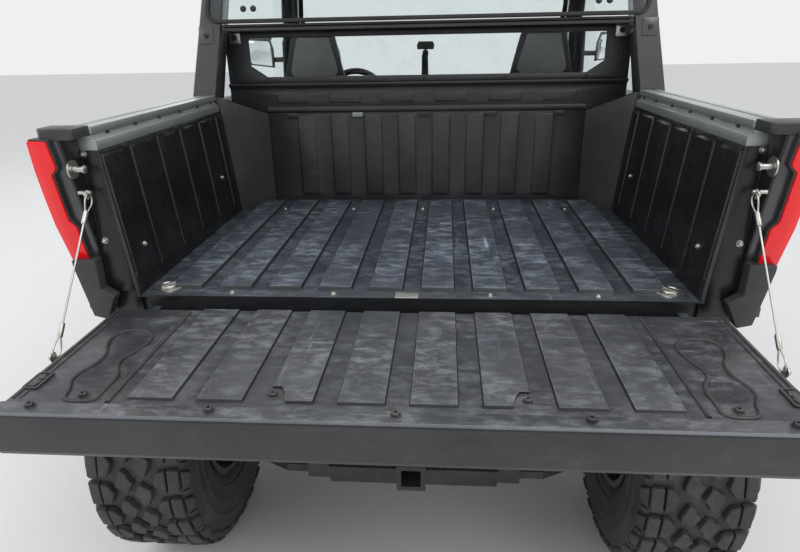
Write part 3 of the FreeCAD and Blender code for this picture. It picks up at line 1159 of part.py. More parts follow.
side_panels = []
for count in range(6):
    start = "bed_rear + 6" if count == 0 else f"bed_rear + 30 + rib_gap / 2 + rib_pitch * ({count} - 0.4)"
    end = "corner_start - 10" if count == 5 else f"bed_rear + 30 - rib_gap / 2 + rib_pitch * ({count} + 0.6)"
    side_panels.append(prism(
        f"side_panel_{count}", "y",
        [(wall_x("20", "-2"), "floor_height + 20"), (wall_x("wall_rise - 8", "-2"), "wall_top - 8"),
         (wall_x("wall_rise - 16", "rib_rise"), "wall_top - 16"), (wall_x("28", "rib_rise"),
             "floor_height + 28")],
        start, end))
corner_right = loft(
    "corner_right", "z",
    [("bed_half", "corner_start"), ("bed_half + 10", "corner_start"),
     ("end_half + 10", "bed_front + 12"), ("end_half", "bed_front + 12"), ("end_half", "bed_front")],
    "floor_low",
    [("bed_half + wall_lean + 4", "corner_start"), ("bed_half + wall_lean + 14", "corner_start"),
     ("end_half + 10", "bed_front + 12"), ("end_half", "bed_front + 12"), ("end_half", "bed_front")],
    "wall_top + 47")
corner_slope = prism(
    "corner_slope", "y",
    [("end_half - 10", "front_top - 5"), ("end_half + 4", "front_top - 5"), ("bed_half + 34",
        "wall_top + 45"),
     ("bed_half + 60", "wall_top + 45"), ("bed_half + 60", "wall_top + 80"), ("end_half - 10",
         "wall_top + 80")],
    "corner_start - 5", "bed_front + 20")
wall_set = fuse("wall_set", wall_right, *side_panels, cut("corner_cut", corner_right, corner_slope))
nodes["bed_walls"] = pair("bed_walls", wall_set)

front_plate = box("front_plate", ("-end_half", "end_half"), ("bed_front", "bed_front + 12"),
                  ("floor_low", "front_top"))
front_ledge = prism("front_ledge", "x",
                    [("bed_front - 8", "front_top"), ("bed_front + 12", "front_top"),
                     ("bed_front + 12", "front_top + 20"), ("bed_front - 3", "front_top + 20"),
                     ("bed_front - 8", "front_top + 15")], "-end_half", "end_half")
front_panels = row("front_panels", "y",
                   rect("-3.5 * panel_pitch - panel_width / 2", "-3.5 * panel_pitch + panel_width / 2",
                        "floor_height + 12", "front_top - 12"), "bed_front", "7", "panel_pitch", 8)
nodes["bed_front"] = fuse("bed_front", front_plate, front_ledge, front_panels)

# Outer sides with their arch lip and closing plates.
side_skin = prism(
    "side_skin", "x",
    [("bed_rear", "floor_height - 50"), ("corner_start - 15", "floor_height - 50"),
     ("corner_start - 15", "wall_top"), ("bed_rear", "wall_top")], "side_x - 8", "side_x")
rear_arch_cut = rod("rear_arch_cut", "x", "rear_arch", "side_x - 20", "side_x + 30",
                    ("rear_axle", "axle_height"))
side_flare = rod("side_flare_blank", "x", "rear_arch + flare_width", "side_x - 8", "side_x + 8",
                 ("rear_axle", "axle_height"))
side_range = prism(
    "side_flare_range", "x",
    [("bed_rear", "floor_height - 50"), ("corner_start - 15", "floor_height - 50"),
     ("corner_start - 15", "wall_top"), ("bed_rear", "wall_top")], "side_x - 9", "side_x + 9")
side_groove = prism(
    "side_groove", "x",
    [("bed_rear + 60", "wall_top - 130"), ("corner_start - 70", "wall_top - 130"),
     ("corner_start - 70", "wall_top - 60"), ("bed_rear + 30", "wall_top - 60")], "side_x - 3", "side_x + 9")
skin = cut("side_skin_arched", fuse("side_skin_lipped", side_skin, common("side_flare", side_flare,
    side_range)),
           rear_arch_cut, side_groove)
WEB = [("bed_half + 10", "floor_height"), ("bed_half + wall_lean + sheet", "wall_top"),
       ("side_x - 8", "wall_top"), ("side_x - 8", "floor_height")]
rear_web = prism("rear_web", "y", WEB, "bed_rear", "bed_rear + sheet")
fore_web = prism("fore_web", "y", WEB, "corner_start - 15 - sheet", "corner_start - 15")
tail_post = prism(
    "tail_post", "x",
    [("bed_rear - 70", "wall_top + 34"), ("bed_rear", "wall_top + 34"), ("bed_rear", "floor_height - 10"),
     ("bed_rear - 8", "floor_height - 10"), ("bed_rear - 8", "floor_height + 100")],
    "gate_half + 38", "side_x")
nodes["bed_sides"] = pair("bed_sides", fuse("bed_side", skin, rear_web, fore_web, tail_post))

# Side rails: one extruded section with its step and slots.
bed_rail = prism(
    "bed_rail", "y",
    [("rail_in", "wall_top"), ("rail_out", "wall_top"), ("rail_out", "wall_top + 16"),
     ("rail_out - 6", "wall_top + 22"), ("rail_in + 76", "wall_top + 22"), ("rail_in + 70", "rail_top - 26"),
     ("rail_in + 70", "rail_top"), ("rail_in + 44 + rail_slot", "rail_top"), ("rail_in + 44 + rail_slot",
         "rail_top - 7"),
     ("rail_in + 44", "rail_top - 7"), ("rail_in + 44", "rail_top"), ("rail_in + 7", "rail_top"),
     ("rail_in + 7", "wall_top + 38"), ("rail_in + 13", "wall_top + 38"), ("rail_in + 13",
         "wall_top + 38 - rail_slot"),
     ("rail_in + 7", "wall_top + 38 - rail_slot"), ("rail_in + 7", "wall_top + 22"), ("rail_in",
         "wall_top + 22")],
    "bed_rear", "corner_start - 15")
nodes["bed_rails"] = pair("bed_rails", bed_rail)
end_cap = prism(
    "end_cap", "z",
    [("gate_half + 6", "bed_rear"), ("gate_half + 6", "bed_rear - 64"), ("gate_half + 14", "bed_rear - 72"),
     ("side_x - 18", "bed_rear - 72"), ("side_x", "bed_rear - 52"), ("side_x", "bed_rear")],
    "wall_top + 34", "rail_top + 4")
nodes["rail_caps"] = pair("rail_caps", end_cap)

lamp_face = prism(
    "lamp_face", "y",
    [("gate_half + 50", "floor_height + 108"), ("side_x - 44", "floor_height + 108"), ("side_x + 4",
        "wall_top + 34"),
     ("gate_half + 46", "wall_top + 34"), ("gate_half + 62", "wall_top - 33"),
     ("gate_half + 42", "wall_top - 91"), ("gate_half + 60", "floor_height + 200"),
     ("gate_half + 40", "floor_height + 150")],
    "bed_rear - 100", "bed_rear")
lamp_slab = prism(
    "lamp_slab", "x",
    [("bed_rear - 86", "wall_top + 40"), ("bed_rear - 71.4", "wall_top + 40"),
     ("bed_rear - 8", "floor_height + 100"), ("bed_rear - 23", "floor_height + 100")],
    "gate_half", "side_x + 10")
nodes["tail_lamps"] = pair("tail_lamps", common("tail_lamp", lamp_face, lamp_slab))
flare = prism(
    "corner_flare", "y",
    [("gate_half + 8", "floor_height"), ("gate_half + 36", "floor_height - 60"),
     ("side_x - 26", "floor_height - 52"), ("side_x", "floor_height + 82"), ("side_x", "floor_height + 96"),
     ("gate_half + 38", "floor_height + 96"), ("gate_half + 38", "floor_height + 20")],
    "bed_rear - 40", "bed_rear - 8")
flare_root = box("flare_root", ("gate_half + 38", "side_x - 12"), ("bed_rear - 8", "bed_rear"),
                 ("floor_height - 48", "floor_height - 10"))
nodes["corner_flares"] = pair("corner_flares", fuse("flare_set", flare, flare_root))

# Bed underframe with the tipping pin.
hat = prism("bed_hat", "y",
            [("rail_inset - 5", "floor_low"), ("rail_inset + 3", "tip_z + 60"), ("rail_end - 3",
                "tip_z + 60"),
             ("rail_end + 5", "floor_low")], "bed_rear + 20", "bed_front - 10")
tip_ear = prism("tip_ear", "x",
                [("tip_y - 10", "tip_z - 24"), ("tip_y + 14", "tip_z - 24"), ("tip_y + 40", "tip_z + 6"),
                 ("tip_y + 40", "floor_low"), ("bed_rear + 20", "floor_low"), ("bed_rear + 20",
                     "floor_low - 62"),
                 ("tip_y - 24", "floor_low - 62"), ("tip_y - 24", "tip_z - 10")],
                "rail_end + 5", "rail_end + 25")
tip_rod = rod("tip_rod", "x", "tip_pin", "-rail_end - 20", "rail_end + 20", ("tip_y", "tip_z"))
nodes["bed_frame"] = fuse("bed_frame", hat, mirror(hat), tip_ear, mirror(tip_ear), tip_rod)

# Latch pins and the gate's cables.
PIN_Z = "wall_top - 33"
CABLE_Z = "wall_top - 89"
latch = fuse(
    "latch_pin",
    rod("latch_rod", "x", "7", "gate_half + 7", "gate_half + 38", ("bed_rear - 50", PIN_Z)),
    rod("latch_washer", "x", "15", "gate_half + 34", "gate_half + 38", ("bed_rear - 50", PIN_Z)),
    rod("cable_stud", "x", "5", "gate_half + 8", "gate_half + 38", ("bed_rear - 40", CABLE_Z)))
nodes["latch_pins"] = pair("latch_pins", latch)
STUD_Y = "hinge_y - 248"
STUD_Z = "hinge_z + 20"
TOP_Y = "bed_rear - 43"
TOP_Z = "wall_top - 93"
LEAN = f"atan(({TOP_Y} - 4 - ({STUD_Y})) / ({TOP_Z} - ({STUD_Z}) - 5))"
cable = doc.addObject("Part::Cylinder", "gate_cable")
cable.Placement.Rotation = FreeCAD.Rotation(V(1, 0, 0), 140)
cable.setExpression("Placement.Rotation.Angle", full(f"180 deg - {LEAN}"))
cable.setExpression("Placement.Base.x", full("gate_half + 11"))
cable.setExpression("Placement.Base.y", full(TOP_Y))
cable.setExpression("Placement.Base.z", full(TOP_Z))
cable.setExpression("Radius", "dims.cable_radius")
cable.setExpression("Height", full(f"sqrt(({TOP_Y} - ({STUD_Y})) ^ 2 + ({TOP_Z} - ({STUD_Z})) ^ 2) - 7"))
nodes["gate_cables"] = pair("gate_cables", cable)

# Tailgate, lowered: pads inside, thicker outer skin with a pressed field, on two pins.
gate_plan = [
    ("hinge_y - 10", "gate_top - 8"), ("hinge_y - 10", "hinge_z - 25"), ("hinge_y - 100", "gate_low"),
    ("-nose + 6", "gate_low"), ("-nose", "gate_low + 10"), ("-nose", "gate_top - 8"),
]
gate_block = prism("gate_block", "x", gate_plan, "-gate_half", "gate_half")
gate_parts = []
for name, start, end in (("right", "gate_half", "gate_half + 11"), ("left", "-gate_half - 11",
    "-gate_half")):
    gate_parts.append(rod(f"gate_stud_{name}", "x", "5", start, end, (STUD_Y, STUD_Z)))
gate_tools = [loft(
    "gate_field", "z",
    rect("120 - gate_half", "gate_half - 120", "-nose + 70", "hinge_y - 130"), "gate_low - 1",
    rect("150 - gate_half", "gate_half - 150", "-nose + 95", "hinge_y - 155"), "gate_low + 16")]
for name, knuckle, pin, room in (
        ("right", ("bed_half - 86", "bed_half - 52"), ("bed_half - 61", "bed_half - 14"),
         ("bed_half - 52", "bed_half - 12")),
        ("left", ("52 - bed_half", "86 - bed_half"), ("14 - bed_half", "61 - bed_half"),
         ("12 - bed_half", "52 - bed_half"))):
    gate_parts.append(box(f"gate_knuckle_{name}", knuckle, ("hinge_y - 12", "hinge_y + 9"),
                          ("hinge_z - 9", "hinge_z + 9")))
    gate_parts.append(rod(f"gate_pin_{name}", "x", "gate_pin", *pin, ("hinge_y", "hinge_z")))
    gate_tools.append(box(f"gate_room_{name}", room, ("hinge_y - 30", "hinge_y"),
                          ("hinge_z - 40", "gate_top - 14")))
for name, slot_x in (("right", ("gate_half - 16", "gate_half + 1")), ("left", ("-gate_half - 1",
    "16 - gate_half"))):
    gate_tools.append(box(f"latch_slot_{name}", slot_x, ("-nose + 62", "-nose + 90"),
                          ("gate_top - 40", "gate_top - 7")))
nodes["gate_shell"] = fuse("gate_shell", cut("gate_hollowed", gate_block, *gate_tools), *gate_parts)

skin_plate = box("gate_skin", ("-gate_half", "gate_half"), ("lip_width - nose + 2", "hinge_y - 10"),
                 ("gate_top - 8", "gate_top - 6"))
gate_pads = row("gate_pads", "z",
                rect("-3.5 * pad_pitch - pad_width / 2", "-3.5 * pad_pitch + pad_width / 2",
                     "lip_width - nose + 22", "hinge_y - 12"), "gate_top - 6", "6", "pad_pitch", 8)


def keyhole(name, side, grow):
    """Two discs, their neck and a flaring foot, as pressed into the gate's outer panels."""
    x = f"{side} * (4.5 * pad_pitch + 5)"
    near, far = "hinge_y - 170", "hinge_y - 318"
    low, high = "gate_top - 6.5", "gate_top - 3"
    discs = [rod(f"{name}_disc_near", "z", f"40 + {grow}", low, high, (x, near)),
             rod(f"{name}_disc_far", "z", f"46 + {grow}", low, high, (x, far))]
    neck = box(f"{name}_neck", (f"{x} - 22 - {grow}", f"{x} + 22 + {grow}"), (far, near), (low, high))
    foot = prism(f"{name}_foot", "z",
                 [(f"{x} - 24 - {grow}", near), (f"{x} + 24 + {grow}", near),
                  (f"{x} + 58 + {grow}", f"hinge_y - 60 + {grow}"), (f"{x} - 58 - {grow}",
                      f"hinge_y - 60 + {grow}")],
                 low, high)
    return fuse(name, *discs, neck, foot)


keyholes = []
for name, side in (("right", "1"), ("left", "-1")):
    keyholes.append(cut(f"keyhole_{name}", keyhole(f"keyhole_{name}_outer", side, 5),
                        keyhole(f"keyhole_{name}_inner", side, 0)))
gate_lip = prism("gate_lip", "x",
                 [("-nose", "gate_top - 8"), ("lip_width - nose", "gate_top - 8"), ("lip_width - nose",
                     "gate_top"),
                  ("-nose + 5", "gate_top"), ("-nose", "gate_top - 4")], "-gate_half", "gate_half")
nodes["gate_inner"] = group("gate_inner", fuse("gate_liner", skin_plate, gate_pads, *keyholes), gate_lip)

doc.recompute()
for item in doc.Objects:
    if any(word in ("Invalid", "Error") for word in item.State):
        raise RuntimeError(f"{item.Name} did not build: {item.State}")
for name, item in nodes.items():
    if item.Shape.isNull() or not item.Shape.isValid() or not item.Shape.Solids:
        raise RuntimeError(f"{name} has no sound shape")
    item.Shape.exportStep(f"parts/{name}.step")
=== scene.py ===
"""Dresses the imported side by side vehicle: finishes, tyres, seats, cables, screws and lamps."""
import json
import math

import bmesh
import bpy
from mathutils import Matrix, Vector
from mathutils.bvhtree import BVHTree


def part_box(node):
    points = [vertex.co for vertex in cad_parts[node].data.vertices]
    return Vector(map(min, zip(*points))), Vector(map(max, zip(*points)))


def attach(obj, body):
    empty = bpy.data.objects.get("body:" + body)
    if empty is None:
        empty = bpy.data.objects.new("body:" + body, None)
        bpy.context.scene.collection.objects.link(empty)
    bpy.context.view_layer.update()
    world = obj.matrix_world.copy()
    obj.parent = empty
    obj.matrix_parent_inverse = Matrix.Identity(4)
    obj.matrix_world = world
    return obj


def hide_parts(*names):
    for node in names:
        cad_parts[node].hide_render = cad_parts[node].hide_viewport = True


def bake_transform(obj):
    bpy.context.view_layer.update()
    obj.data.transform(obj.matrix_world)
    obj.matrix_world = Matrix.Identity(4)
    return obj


bl_info = {
    "name": "Utility Vehicle Dresser",
    "version": (1, 0, 0),
    "blender": (4, 5, 0),
    "location": "3D View > Sidebar > Vehicle",
    "description": "Adds finishes, tyres, seats and fittings to the packed vehicle",
    "category": "Object",
}

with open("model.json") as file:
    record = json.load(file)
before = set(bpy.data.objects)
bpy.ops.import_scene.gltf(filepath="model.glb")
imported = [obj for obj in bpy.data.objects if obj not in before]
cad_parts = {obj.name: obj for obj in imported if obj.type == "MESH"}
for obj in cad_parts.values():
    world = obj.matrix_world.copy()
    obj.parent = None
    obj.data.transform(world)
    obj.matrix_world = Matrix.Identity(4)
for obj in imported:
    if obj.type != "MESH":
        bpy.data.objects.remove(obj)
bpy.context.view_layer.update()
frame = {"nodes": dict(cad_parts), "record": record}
SLOT_OF = {row["node"]: row["material_slot"] for row in frame["record"]["subparts"]}
BODY_OF = {node: body for body, members in frame["record"]["behaviour"]["bodies"].items() for node in members}


# Shared shader effects, each a node group with named inputs and outputs.

def new_group(name, inputs, outputs):
    tree = bpy.data.node_groups.new(name, "ShaderNodeTree")
    for label, kind, default in inputs:
        socket = tree.interface.new_socket(label, in_out="INPUT", socket_type=kind)
        if default is not None:
            socket.default_value = default
    for label, kind in outputs:
        tree.interface.new_socket(label, in_out="OUTPUT", socket_type=kind)
    return tree, tree.nodes.new("NodeGroupInput"), tree.nodes.new("NodeGroupOutput")


def add(tree, kind, inputs=None, **settings):
    """A node with its settings, and each named or numbered input linked or set."""
    made = tree.nodes.new(kind)
    for key, value in settings.items():
        setattr(made, key, value)
    for key, value in (inputs or {}).items():
        if isinstance(value, bpy.types.NodeSocket):
            tree.links.new(value, made.inputs[key])
        else:
            made.inputs[key].default_value = value
    return made


def ramp(tree, source, low, high):
    """0 at low and 1 at high, whichever is the greater, and held beyond both."""
    return add(tree, "ShaderNodeMapRange", {0: source, 1: low, 2: high}, clamp=True).outputs[0]


def maths(tree, operation, first, second, **settings):
    return add(tree, "ShaderNodeMath", {0: first, 1: second}, operation=operation, **settings).outputs[0]


def multiply(tree, first, second):
    return maths(tree, "MULTIPLY", first, second)


def plus(tree, first, second):
    return maths(tree, "ADD", first, second)


def noise(tree, vector, scale, detail, roughness=0.5, **more):
    """A noise node; its first output is the value and its second the colour."""
    return add(tree, "ShaderNodeTexNoise", {"Vector": vector, "Scale": scale, "Detail": detail,
                                            "Roughness": roughness, **more})


def blend_colour(tree, factor, first, second):
    mixed = add(tree, "ShaderNodeMix", {0: factor, 6: first, 7: second}, data_type="RGBA")
    return mixed.outputs[2]


def build_scuffs():
    """Scratches drawn out along one axis, with worn patches where a load has slid."""
    tree, given, result = new_group("Load scuffs", (
        ("Vector", "NodeSocketVector", None), ("Base", "NodeSocketColor", (0.1, 0.1, 0.1, 1)),
        ("Worn", "NodeSocketColor", (0.3, 0.3, 0.3, 1)), ("Along", "NodeSocketVector", (60, 3, 60)),
        ("Across", "NodeSocketVector", (4, 45, 60)), ("Amount", "NodeSocketFloat", 0.5)),
        (("Color", "NodeSocketColor"), ("Mask", "NodeSocketFloat")))
    vector = given.outputs["Vector"]
    patches = noise(tree, vector, 3.5, 4.0, 0.6)
    fields = ramp(tree, patches.outputs[0], 0.4, 0.66)
    masks = []
    for direction, low, seed in (("Along", 0.66, 0.0), ("Across", 0.64, 7.0)):
        warp = noise(tree, vector, 2.0, 1.0)
        bent = add(tree, "ShaderNodeVectorMath", {0: vector, 1: add(
            tree, "ShaderNodeVectorMath", {0: warp.outputs[1], "Scale": 0.06}, operation="SCALE").outputs[0]},
            operation="ADD")
        drawn = add(tree, "ShaderNodeVectorMath", {0: bent.outputs[0], 1: given.outputs[direction]},
                    operation="MULTIPLY")
        lines = add(tree, "ShaderNodeTexNoise", {"Vector": drawn.outputs[0], "W": seed, "Scale": 1.0,
                                                 "Detail": 3.0, "Roughness": 0.55}, noise_dimensions="4D")
        masks.append(ramp(tree, lines.outputs[0], low, low + 0.1))
    flat = add(tree, "ShaderNodeVectorMath", {0: vector, 1: (0.5, 1.0, 1.0)}, operation="MULTIPLY").outputs[0]
    haze = noise(tree, flat, 42.0, 9.0, 0.73, Distortion=0.12)
    cloudy = multiply(tree, ramp(tree, haze.outputs[0], 0.46, 0.73), plus(tree, multiply(tree, fields, 0.82), 0.18))
    scratch = multiply(tree, maths(tree, "MAXIMUM", *masks), plus(tree, multiply(tree, fields, 0.8), 0.2))
    total = plus(tree, multiply(tree, scratch, 0.7), multiply(tree, cloudy, 0.66))
    mask = maths(tree, "MULTIPLY", total, given.outputs["Amount"], use_clamp=True)
    tree.links.new(blend_colour(tree, mask, given.outputs["Base"], given.outputs["Worn"]), result.inputs["Color"])
    tree.links.new(mask, result.inputs["Mask"])
    return tree


def build_grain():
    """Fine moulded leather-like grain as a height."""
    tree, given, result = new_group("Moulded grain", (
        ("Vector", "NodeSocketVector", None), ("Scale", "NodeSocketFloat", 900.0)),
        (("Height", "NodeSocketFloat"),))
    cells = add(tree, "ShaderNodeTexVoronoi", {"Vector": given.outputs["Vector"], "Scale": given.outputs["Scale"]},
                feature="SMOOTH_F1")
    soft = noise(tree, given.outputs["Vector"], 140.0, 4.0)
    tree.links.new(plus(tree, cells.outputs[0], multiply(tree, soft.outputs[0], 0.6)), result.inputs["Height"])
    return tree


def build_dust():
    """Pale dust that gathers on upward faces and in patches."""
    tree, given, result = new_group("Road dust", (
        ("Vector", "NodeSocketVector", None), ("Color", "NodeSocketColor", (0.1, 0.1, 0.1, 1)),
        ("Dust", "NodeSocketColor", (0.42, 0.38, 0.32, 1)), ("Amount", "NodeSocketFloat", 0.3),
        ("Upward", "NodeSocketFloat", 0.6)),
        (("Color", "NodeSocketColor"), ("Mask", "NodeSocketFloat")))
    normal = add(tree, "ShaderNodeNewGeometry").outputs["Normal"]
    up = add(tree, "ShaderNodeSeparateXYZ", {0: normal}).outputs[2]
    facing = plus(tree, multiply(tree, ramp(tree, up, 0.2, 0.95), given.outputs["Upward"]),
                  maths(tree, "SUBTRACT", 1.0, given.outputs["Upward"]))
    cloud = noise(tree, given.outputs["Vector"], 7.0, 8.0, 0.68)
    speck = noise(tree, given.outputs["Vector"], 260.0, 2.0)
    mask = multiply(tree, ramp(tree, cloud.outputs[0], 0.35, 0.72), ramp(tree, speck.outputs[0], 0.3, 0.65))
    mask = multiply(tree, multiply(tree, mask, facing), given.outputs["Amount"])
    tree.links.new(blend_colour(tree, mask, given.outputs["Color"], given.outputs["Dust"]), result.inputs["Color"])
    tree.links.new(mask, result.inputs["Mask"])
    return tree


def build_channels():
    """Painted shade that darkens the low ground between raised pads, painted shadow lines on the pads' steep flanks,
    and a pale rim on the pads' top edges that is part wear and part painted highlight.
    """
    tree, given, result = new_group("Channel shade", (
        ("Vector", "NodeSocketVector", None), ("Color", "NodeSocketColor", (0.1, 0.1, 0.1, 1)),
        ("Low", "NodeSocketFloat", 0.0), ("High", "NodeSocketFloat", 1.0), ("Shade", "NodeSocketFloat", 0.38)),
        (("Color", "NodeSocketColor"), ("Mask", "NodeSocketFloat")))
    height = add(tree, "ShaderNodeSeparateXYZ", {0: given.outputs["Vector"]}).outputs[2]
    raised = ramp(tree, height, given.outputs["Low"], given.outputs["High"])
    sunk = maths(tree, "SUBTRACT", 1.0, raised)
    facing = add(tree, "ShaderNodeNewGeometry").outputs["True Normal"]
    level = add(tree, "ShaderNodeSeparateXYZ", {0: facing}).outputs[2]
    # Steep flanks go dark: painted shadow lines along the pads' sides.
    flank_shadow = multiply(tree, ramp(tree, level, 0.9, 0.7), 0.92)
    # The pale rim on the pads' rounded top edges, from tilted faces high on a pad: part real wear, part painted
    # highlight.
    tilted = ramp(tree, level, 0.985, 0.96)
    rim_wear_and_highlight = multiply(tree, multiply(tree, tilted, ramp(tree, raised, 0.4, 0.7)), 0.42)
    worn = blend_colour(tree, rim_wear_and_highlight, given.outputs["Color"], (0.4, 0.43, 0.48, 1.0))
    # The channels' painted shade and the flanks' painted shadow lines, drawn toward near black.
    mask = maths(tree, "MAXIMUM", multiply(tree, sunk, given.outputs["Shade"]), flank_shadow)
    tree.links.new(blend_colour(tree, mask, worn, (0.006, 0.0063, 0.007, 1.0)), result.inputs["Color"])
    tree.links.new(raised, result.inputs["Mask"])
    return tree


EFFECTS = {}
# Finishes with raised pads: the heights where a channel ends and where a pad begins.
PADS = {"liner": (0.8405, 0.8488), "gate_liner": (0.8242, 0.8288)}


def effect(material_tree, name, **values):
    """Place a shared effect in a material."""
    return add(material_tree, "ShaderNodeGroup", values, node_tree=EFFECTS[name])


def rgba(colour):
    return (*colour[:3], 1.0)


# Finishes: base and worn colour, roughness, metal, scuffs, grain size and depth, dust, coat.
FINISHES = {
    # The liners' blue tint in their base and worn colours is a painted sky reflection; the scuffs and worn patches
    # themselves are real wear.
    "liner": ((0.04, 0.049, 0.066), (0.46, 0.53, 0.62), 0.4, 0.0, 1.0, 700.0, 0.16, 0.07, 0.0),
    "gate_liner": ((0.04, 0.044, 0.053), (0.44, 0.48, 0.53), 0.4, 0.0, 0.95, 700.0, 0.16, 0.16, 0.0),
    "wall_plastic": ((0.0055, 0.0055, 0.006), (0.08, 0.08, 0.085), 0.27, 0.0, 0.3, 500.0, 0.06, 0.06, 0.0),
    "dark_plastic": ((0.026, 0.027, 0.029), (0.16, 0.16, 0.17), 0.45, 0.0, 0.25, 800.0, 0.12, 0.14, 0.0),
    "body_paint": ((0.055, 0.058, 0.062), (0.2, 0.2, 0.2), 0.3, 0.35, 0.06, 1500.0, 0.02, 0.12, 0.5),
    "steel_black": ((0.017, 0.017, 0.018), (0.1, 0.1, 0.1), 0.42, 0.0, 0.12, 900.0, 0.1, 0.35, 0.0),
    "rail_metal": ((0.43, 0.452, 0.446), (0.66, 0.68, 0.67), 0.38, 0.75, 0.3, 1200.0, 0.03, 0.2, 0.0),
    "zinc": ((0.55, 0.54, 0.5), (0.3, 0.29, 0.27), 0.32, 0.95, 0.4, 600.0, 0.08, 0.1, 0.0),
    "engine_metal": ((0.2, 0.2, 0.2), (0.1, 0.09, 0.08), 0.55, 0.7, 0.3, 500.0, 0.25, 0.4, 0.0),
    "shock_paint": ((0.03, 0.03, 0.032), (0.2, 0.2, 0.2), 0.25, 0.0, 0.1, 900.0, 0.03, 0.3, 0.4),
    "rim_metal": ((0.05, 0.05, 0.052), (0.25, 0.25, 0.25), 0.35, 0.5, 0.2, 900.0, 0.05, 0.35, 0.3),
    "rubber_seal": ((0.008, 0.008, 0.008), (0.08, 0.08, 0.08), 0.62, 0.0, 0.1, 600.0, 0.1, 0.15, 0.0),
    "screen": ((0.006, 0.007, 0.009), (0.03, 0.03, 0.03), 0.12, 0.0, 0.1, 900.0, 0.01, 0.1, 1.0),
    "chrome": ((0.75, 0.75, 0.76), (0.5, 0.5, 0.5), 0.1, 1.0, 0.1, 900.0, 0.01, 0.05, 0.0),
    "mirror_face": ((0.86, 0.87, 0.88), (0.6, 0.6, 0.6), 0.04, 1.0, 0.04, 900.0, 0.0, 0.04, 0.0),
    "grey_plastic": ((0.28, 0.3, 0.3), (0.4, 0.4, 0.4), 0.5, 0.0, 0.2, 700.0, 0.1, 0.15, 0.0),
}


def begun(name):
    """A new material with its node tree, shader and object coordinates."""
    material = bpy.data.materials.new(name)
    material.use_nodes = True
    tree = material.node_tree
    return material, tree, tree.nodes["Principled BSDF"], add(tree, "ShaderNodeTexCoord").outputs["Object"]


def shaded(tree, mask, colour, low, high):
    """The colour between two strengths of itself, by a mask."""
    return blend_colour(tree, mask, *(rgba([channel * share for channel in colour]) for share in (low, high)))


def bumped(tree, shader, height, strength, distance):
    bump = add(tree, "ShaderNodeBump", {"Height": height, "Strength": strength, "Distance": distance})
    tree.links.new(bump.outputs[0], shader.inputs["Normal"])


def plain(shader, **values):
    """Values that are the same all over the surface; an underscore stands for a space."""
    for key, value in values.items():
        shader.inputs[key.replace("_", " ")].default_value = value


def make_finish(name):
    base, worn, rough, metal, scuffs, grain, depth, dust, coat = FINISHES[name]
    material, tree, shader, vector = begun(name)
    tone = noise(tree, vector, 5.0, 3.0)
    shade = shaded(tree, ramp(tree, tone.outputs[0], 0.3, 0.7), base, 0.82, 1.15)
    scuffed = effect(tree, "Load scuffs", Vector=vector, Base=shade, Worn=rgba(worn), Amount=scuffs)
    dusted = effect(tree, "Road dust", Vector=vector, Color=scuffed.outputs["Color"], Amount=dust)
    shown = dusted.outputs["Color"]
    # Painted shade in the channels between pads and painted shadow on the pads' flanks, with a pale rim that is part
    # wear and part painted highlight.
    if name in PADS:
        low, high = PADS[name]
        shown = effect(tree, "Channel shade", Vector=vector, Color=shown, Low=low, High=high).outputs["Color"]
    tree.links.new(shown, shader.inputs["Base Color"])
    worn_rough = plus(tree, multiply(tree, scuffed.outputs["Mask"], 0.2),
                      plus(tree, multiply(tree, dusted.outputs["Mask"], 0.4), rough - 0.03))
    uneven = noise(tree, vector, 60.0, 3.0)
    tree.links.new(plus(tree, worn_rough, multiply(tree, uneven.outputs[0], 0.08)), shader.inputs["Roughness"])
    plain(shader, Metallic=metal, Coat_Weight=coat, Coat_Roughness=0.18)
    bumped(tree, shader, effect(tree, "Moulded grain", Vector=vector, Scale=grain).outputs["Height"], depth, 0.0006)
    return material


def make_glass(name, tint, rough):
    material, tree, shader, vector = begun(name)
    smear = noise(tree, vector, 9.0, 6.0, 0.7)
    tree.links.new(shaded(tree, ramp(tree, smear.outputs[0], 0.5, 0.8), tint, 1.0, 0.93), shader.inputs["Base Color"])
    tree.links.new(multiply(tree, ramp(tree, smear.outputs[0], 0.45, 0.9), rough), shader.inputs["Roughness"])
    plain(shader, Transmission_Weight=1.0, IOR=1.05)
    return material


def make_lamp(name, colour, ridge, glow):
    """Lens plastic with fine optic ridges under it."""
    material, tree, shader, vector = begun(name)
    rows = add(tree, "ShaderNodeTexWave", {"Vector": vector, "Scale": ridge, "Distortion": 0.0},
               bands_direction="Z", wave_type="BANDS")
    tree.links.new(shaded(tree, ramp(tree, rows.outputs[1], 0.3, 0.9), colour, 1.0, 0.92), shader.inputs["Base Color"])
    plain(shader, Roughness=0.22, Coat_Weight=0.35, Coat_Roughness=0.06, Emission_Color=rgba(colour),
          Emission_Strength=glow)
    bumped(tree, shader, rows.outputs[1], 0.03, 0.001)
    return material


def make_rubber():
    material, tree, shader, vector = begun("tyre_rubber")
    scuffed = effect(tree, "Load scuffs", Vector=vector, Base=rgba((0.022, 0.022, 0.024)),
                     Worn=rgba((0.09, 0.085, 0.08)), Amount=0.6)
    dusted = effect(tree, "Road dust", Vector=vector, Color=scuffed.outputs["Color"],
                    Dust=rgba((0.2, 0.185, 0.16)), Amount=0.45, Upward=0.0)
    tree.links.new(dusted.outputs["Color"], shader.inputs["Base Color"])
    tree.links.new(plus(tree, multiply(tree, dusted.outputs["Mask"], 0.3), 0.6), shader.inputs["Roughness"])
    bumped(tree, shader, effect(tree, "Moulded grain", Vector=vector, Scale=420.0).outputs["Height"], 0.3, 0.0008)
    return material


